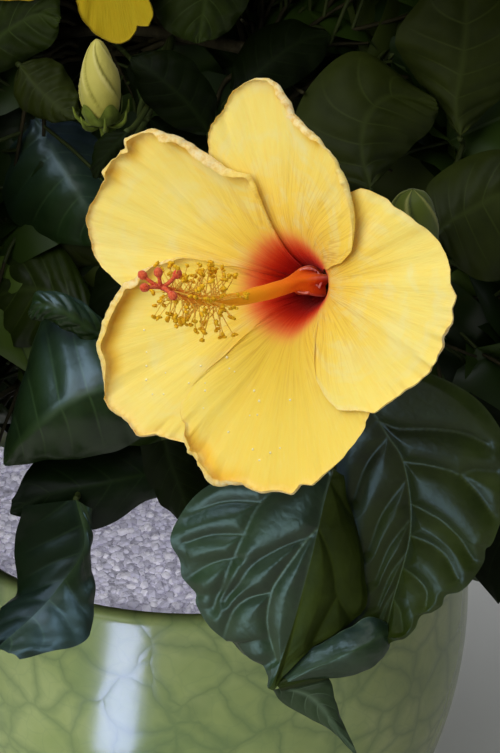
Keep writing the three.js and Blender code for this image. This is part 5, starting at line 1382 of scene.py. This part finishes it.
for k, (name, mid, left, right, depths, dl, dr, mat) in enumerate(PLACED):
    d = np.array(depths)
    q = np.sin(np.pi * np.linspace(0, 1, len(d)))
    # painted shade: the darker leaf copies go on shaded blades, and leaf_hanging_left takes one on its left half
    ob, P = blade(name, px_line(mid, d), px_line(left, d + dl * q), px_line(right, d + dr * q), mat, rows=48, half=13, seed=30 + k, bulge_mm=0.35 if mat in (LEAF_HERO_DEEP_SHADE, LEAF_HERO_SHADE) else 1.0, arch_mm=2.2,
                  halves=(LEAF_HERO_SHADE, LEAF_HERO_BLUE) if name == "leaf_hanging_left" else None)
    CLOSE_PTS.append(P)

# ------------------------------------------------------------------ twigs and leaves that grow from the boughs
greens = [Build() for _ in LEAF_GREENS]
twigs = Build()
LO = CAD_LO - 0.004
HI = CAD_HI + 0.004
LO[2] = 0.222
leaf_count = 0


def inside(poly, x, y):
    n = len(poly)
    hit = np.zeros(np.shape(x), bool)
    j = n - 1
    for i in range(n):
        xi, yi = poly[i]
        xj, yj = poly[j]
        c = ((yi > y) != (yj > y)) & (x < (xj - xi) * (y - yi) / (yj - yi + 1e-9) + xi)
        hit ^= c
        j = i
    return hit


# parts of the photograph's frame that stay open: (outline in pixels, nothing nearer than this depth)
OPEN = [
    ([(78, 36), (130, 36), (132, 130), (66, 130)], 0.86),
    ([(70, -60), (162, -60), (162, 50), (70, 50)], 0.862),
    ([(382, 182), (442, 182), (442, 246), (382, 246)], 0.86),
    ([(92, 500), (128, 508), (160, 496), (182, 512), (176, 560), (200, 620), (200, 780), (90, 780)], 2.0),
    ([(-40, 462), (14, 462), (14, 606), (-40, 640)], 2.0),
    ([(-60, 600), (280, 600), (280, 900), (-60, 900)], 2.0),
    ([(260, 660), (470, 600), (600, 600), (600, 900), (260, 900)], 2.0),
]


def depth_limit(x, y):
    """No sprayed leaf comes nearer than this inside the photograph's frame."""
    inside_frame = (x > -30) & (x < 530) & (y > -30) & (y < 783)
    lim = np.where(inside_frame, 0.835, 0.0)
    for poly, d in OPEN:
        lim = np.where(inside(poly, x, y), d, lim)
    return lim


def allowed(pts, check_view=True):
    if (pts < LO).any() or (pts > HI).any():
        return False
    for O, axis, sc in BLOOMS:
        r = pts - O
        h = r @ axis
        rad = np.linalg.norm(r - h[:, None] * axis, axis=1)
        near = (rad < 0.088 * sc) & (h > saucer(rad / sc * 1000) * MM * sc - 0.010) & (h < 0.13)
        if near.any():
            return False
    for _, base, axis, sc, _m, _t, _s in BUDS:
        r = pts - V(*base) * MM
        a = unit(V(*axis))
        h = r @ a
        rad = np.linalg.norm(r - h[:, None] * a, axis=1)
        if ((rad < 0.014 * sc) & (h > -0.004) & (h < 0.05 * sc)).any():
            return False
    # room for the stem and for the pot's rim
    rad = np.hypot(pts[:, 0], pts[:, 1])
    if ((pts[:, 2] < 0.226) & (rad < 0.142)).any():
        return False
    if check_view:
        x, y, z = seen(pts)
        if (z < depth_limit(x, y)).any():
            return False
    return True


def add_leaf(base, y_dir, up_hint, length, tone, variant=None):
    global leaf_count
    k = int(rng.integers(len(TEMPLATES))) if variant is None else variant
    v, f, rib, edges = TEMPLATES[k]
    B = basis(y_dir, up_hint)
    if not allowed(base + edges @ B * length):
        return False
    greens[tone].add(base + v @ B * length, f, rib)
    leaf_count += 1
    return True


CROWN_MID = V(0, 12, 430) * MM


def through_bloom(path):
    """Whether a twig would pass through a bloom or a bud."""
    for O, axis, sc in BLOOMS:
        r = path - O
        h = r @ axis
        rad = np.linalg.norm(r - h[:, None] * axis, axis=1)
        if ((rad < 0.084 * sc) & (h > saucer(rad / sc * 1000) * MM * sc - 0.006) & (h < 0.12)).any():
            return True
    for _, base, axis, sc, _m, _t, _s in BUDS:
        r = path - V(*base) * MM
        a = unit(V(*axis))
        h = r @ a
        rad = np.linalg.norm(r - h[:, None] * a, axis=1)
        if ((rad < 0.012 * sc) & (h > 0.002) & (h < 0.05 * sc)).any():
            return True
    return False


def spray(start, end, outward, r0, tone, n_leaves, size, droop=0.02):
    """One twig with leaves set round it by the golden angle, and a small young one at its end."""
    span = np.linalg.norm(end - start)
    mid = (start + end) / 2 + V(0, 0, 0.10 * span) + rng.normal(0, 0.06 * span, 3)
    path = curve([start, mid, end - V(0, 0, droop * span)], 12)
    if through_bloom(path):
        return
    px, py, pz = seen(path)
    lim = depth_limit(px, py)
    if ((lim > 1.5) & (pz < lim)).sum() > 2:
        return
    path = path + LOOK * np.where(lim < 1.5, np.clip(lim + 0.004 - pz, 0, 0.06), 0)[:, None]
    px, py, pz = seen(path)
    if ((px > -20) & (px < 520) & (py > -20) & (py < 300) & (pz > 0.83) & (pz < 0.97)).any():
        n_leaves += 3
    ok = []
    turn = rng.uniform(0, 6.28)
    t, n, m = frames_along(path)
    sway = unit(np.cross(outward, V(0, 0, 1)) + 1e-6)
    for k in range(n_leaves):
        q = 0.28 + 0.70 * k / max(n_leaves - 1, 1)
        i = int(round(q * 12))
        last = k == n_leaves - 1
        a = turn + 2.39996 * k
        out = math.cos(a) * n[i] + math.sin(a) * m[i]
        for attempt in range(4):
            pet = unit(out * 0.85 + t[i] * (0.9 if last else 0.4) + outward * 0.40 + V(0, 0, 0.20) + rng.normal(0, 0.16, 3))
            plen = rng.uniform(0.018, 0.040) * (0.5 if last else 1)
            base = path[i] + pet * plen
            here = unit((base - CROWN_MID) * V(1, 1, 0.9))
            y = unit(pet * 0.62 + here * 0.22 - V(0, 0, rng.uniform(0.0, 0.85)) + sway * rng.normal(0, 0.46) + rng.normal(0, 0.18, 3))
            up = unit(here * rng.uniform(0.6, 1.2) + V(0, 0, 0.66) + rng.normal(0, 0.36, 3))
            L = size * rng.uniform(0.72, 1.18) * (0.55 if last else (0.8 + 0.3 * math.sin(math.pi * q)))
            tn = 4 if last and rng.random() < 0.7 else (tone if rng.random() < 0.8 else int(rng.integers(0, 4)))
            if add_leaf(base, y, up, L, tn):
                ok.append((path[i], base))
                break
    tube(twigs, path, np.linspace(r0, r0 * 0.5, 13), 6, 0)
    for p, base in ok:
        tube(twigs, np.array([p, (p + base) / 2 + V(0, 0, 0.001), base]), 0.0009, 5, 1, cap=False)


for path, r0, k0 in INNER:
    if k0 < len(path) - 2:
        tube(twigs, path[k0:], np.linspace(r0 * (1 - 0.62 * k0 / 34), r0 * 0.38, len(path) - k0), 10, 2)
for name in RINGS:
    ring = RINGS[name][0]
    c = mass_centre(name)
    size = SIZES[ring] * MM
    limb = LIMB_ENDS[LIMB_FOR[name]]
    hub = limb[-1]
    outward_mass = unit((c - CROWN_MID) * V(1, 1, 0.8))
    # the limb forks inside the mass
    forks = []
    if np.linalg.norm(hub - c) > 0.02:
        link = curve([hub, (hub + c) / 2 + V(0, 0, 0.008), c], 12)
        tube(twigs, link, np.linspace(0.0030, 0.0022, 13), 8, 2)
        forks.append(link)
        HUBS.extend(list(link[4:]))
    else:
        forks.append(limb[len(limb) // 2:])
    n_dir = 44
    for k in range(n_dir):
        z = 1 - 2 * (k + 0.5) / n_dir
        a = k * golden + 0.7 * list(RINGS).index(name)
        dirv = V(math.sqrt(1 - z * z) * math.cos(a), math.sqrt(1 - z * z) * math.sin(a), z)
        if dirv @ outward_mass < -0.30:
            continue
        # stay clear of the neighbours' middles
        tip = c + dirv * size * rng.uniform(0.66, 0.94)
        crowd = False
        for other in RINGS:
            if other == name:
                continue
            d = (tip - mass_centre(other)) / (SIZES[RINGS[other][0]] * MM)
            if np.linalg.norm(d) < 0.60:
                crowd = True
        if crowd:
            continue
        path = forks[int(rng.integers(len(forks)))]
        start = path[int(rng.uniform(0.25, 0.95) * (len(path) - 1))]
        outward = unit(tip - CROWN_MID)
        tone = int(rng.choice([0, 1, 2, 3], p=[0.34, 0.30, 0.23, 0.13]))
        spray(start, tip, outward, rng.uniform(0.0012, 0.0017), tone, int(rng.integers(5, 8)), rng.uniform(0.078, 0.104))

# stalks of the blooms, the buds and the close leaves, each grown back to the wood inside its mass
hubs = np.array(HUBS)
for start, back, r0 in STALKS:
    lead = start + unit(back) * 0.012
    d = np.linalg.norm(hubs - lead, axis=1) + 0.6 * np.maximum((lead - hubs) @ LOOK, 0)
    best = None
    for pick in np.argsort(d)[:160:4]:
        end = hubs[int(pick)]
        reach = np.linalg.norm(end - lead)
        mid = (lead + end) / 2 + unit(back) * 0.10 * reach - V(0, 0, 0.04 * reach)
        path = curve([start, lead, mid, end], 18)
        best = path if best is None else best
        if not through_bloom(path[4:]):
            best = path
            break
    path = best
    tube(twigs, path, np.linspace(r0, max(r0 * 1.2, 0.0015), 19), 8, 1)

names = ["deep", "dark", "mid", "olive", "young"]
first = None
for g, nm, mat in zip(greens, names, LEAF_GREENS):
    if g.n:
        ob = g.object("leaves_" + nm, [mat, VEIN_GREEN])
        if first is None:
            first = ob
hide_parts(*[n for n in frame["nodes"] if n.startswith("foliage_")])
ob = twigs.object("twigs", [TWIG, PETIOLE, BARK_IN_CROWN])

# ------------------------------------------------------------------ floor and light
me = bpy.data.meshes.new("floor")
s = 6.0
me.from_pydata([(-s, -s, 0), (s, -s, 0), (s, s, 0), (-s, s, 0)], [], [(0, 1, 2, 3)])
floor = bpy.data.objects.new("floor", me)
bpy.context.scene.collection.objects.link(floor)
fm, _nt, _bs = material("floor_pale", lin(206, 204, 200), 0.8, 0.2)
me.materials.append(fm)


def area(name, loc, target, size_x, size_y, power, color=(1, 1, 1), only=None, shade=None, diffuse=True, gloss=True, roll=0.0):
    ld = bpy.data.lights.new(name, "AREA")
    ld.shape = "RECTANGLE"
    ld.size, ld.size_y = size_x, size_y
    ld.energy = power
    ld.color = color
    lo = bpy.data.objects.new(name, ld)
    bpy.context.scene.collection.objects.link(lo)
    lo.location = loc
    z = unit(V(*loc) - V(*target))
    x = unit(np.cross(V(0, 0.02, 1), z))
    y = np.cross(z, x)
    x, y = x * math.cos(roll) - y * math.sin(roll), x * math.sin(roll) + y * math.cos(roll)
    from mathutils import Matrix
    lo.rotation_euler = Matrix(((x[0], y[0], z[0]), (x[1], y[1], z[1]), (x[2], y[2], z[2]))).to_euler()
    lo.visible_camera = False
    lo.visible_diffuse, lo.visible_glossy = diffuse, gloss
    if only:
        lit = bpy.data.collections.new(name + "_lights")
        for ob in only:
            lit.objects.link(ob)
        lo.light_linking.receiver_collection = lit
    if shade:
        dark = bpy.data.collections.new(name + "_is_shaded_by")
        for ob in shade:
            dark.objects.link(ob)
        lo.light_linking.blocker_collection = dark
    return lo


area("key", (-1.5, -1.6, 1.75), (0, -0.1, 0.42), 2.4, 2.2, 50, (1.0, 0.985, 0.96), gloss=False)
area("key_gloss", (-1.5, -1.6, 1.75), (0, -0.1, 0.42), 2.4, 2.2, 17, (1.0, 0.985, 0.96), diffuse=False)
area("top", (-0.15, -0.1, 2.5), (0, 0, 0.4), 2.4, 2.4, 26, (0.90, 0.95, 1.0))
area("back", (0.7, 1.8, 1.6), (0, 0, 0.42), 1.6, 1.4, 14, (0.95, 0.98, 1.0))
area("side", (1.9, -0.5, 1.0), (0, 0, 0.4), 1.4, 1.4, 1, (0.95, 0.98, 1.0))
area("low", (-1.1, -1.5, 0.45), (0, 0, 0.15), 0.9, 0.5, 3, (0.95, 0.97, 1.0), only=[pot])
area("strip", (-0.175, -0.39, -0.02), (-0.03, -0.13, 0.09), 0.095, 0.42, 0.80, (0.70, 0.85, 1.0), only=[pot], shade=[pot], gloss=False)
area("streak", (-0.1316, -0.2928, 0.0790), (-0.0353, -0.1429, 0.1697), 0.066, 0.150, 0.66, (0.51, 0.56, 1.0), only=[pot], shade=[pot], diffuse=False, roll=0.312)
area("gravel_light", (-0.10, -0.80, 0.80), (-0.04, -0.06, 0.205), 0.6, 0.6, 7.0, (0.95, 0.95, 1.0), only=[bed, stones], shade=[pot])
area("sky", (-0.9, -0.5, 2.0), (-0.05, -0.2, 0.35), 1.2, 1.2, 20, (0.50, 0.76, 1.0), only=GLOSSY)
area("sky_above", (-0.05, 0.28, 1.40), (-0.04, -0.2, 0.33), 1.3, 1.0, 32, (0.40, 0.62, 1.0), only=GLOSSY, shade=[pot], diffuse=False)
area("sky_low", (-0.42, -0.97, 0.20), (0.03, -0.22, 0.30), 0.6, 0.36, 3.1, (0.53, 0.86, 1.0), only=[bpy.data.objects[n] for n in ("leaf_close_left", "leaf_close_curl")], shade=[pot], diffuse=False)
area("sky_front", (-0.245, -0.445, 0.09), (0.10, -0.228, 0.31), 0.22, 0.17, 0.78, (0.42, 0.70, 1.0), only=[bpy.data.objects["leaf_close_right"]], shade=[pot], diffuse=False)
area("sky_right", (0.47, -0.07, 0.72), (-0.05, -0.23, 0.278), 0.5, 0.5, 6.5, (0.42, 0.70, 1.0), only=[bpy.data.objects["leaf_hanging_left"]], shade=[pot], diffuse=False)

world = bpy.data.worlds.new("studio")
bpy.context.scene.world = world
world.use_nodes = True
bg = world.node_tree.nodes["Background"]
bg.inputs[0].default_value = (0.90, 0.94, 1.0, 1)
bg.inputs[1].default_value = 0.09

print("leaves", leaf_count, "greens", [g.n for g in greens])
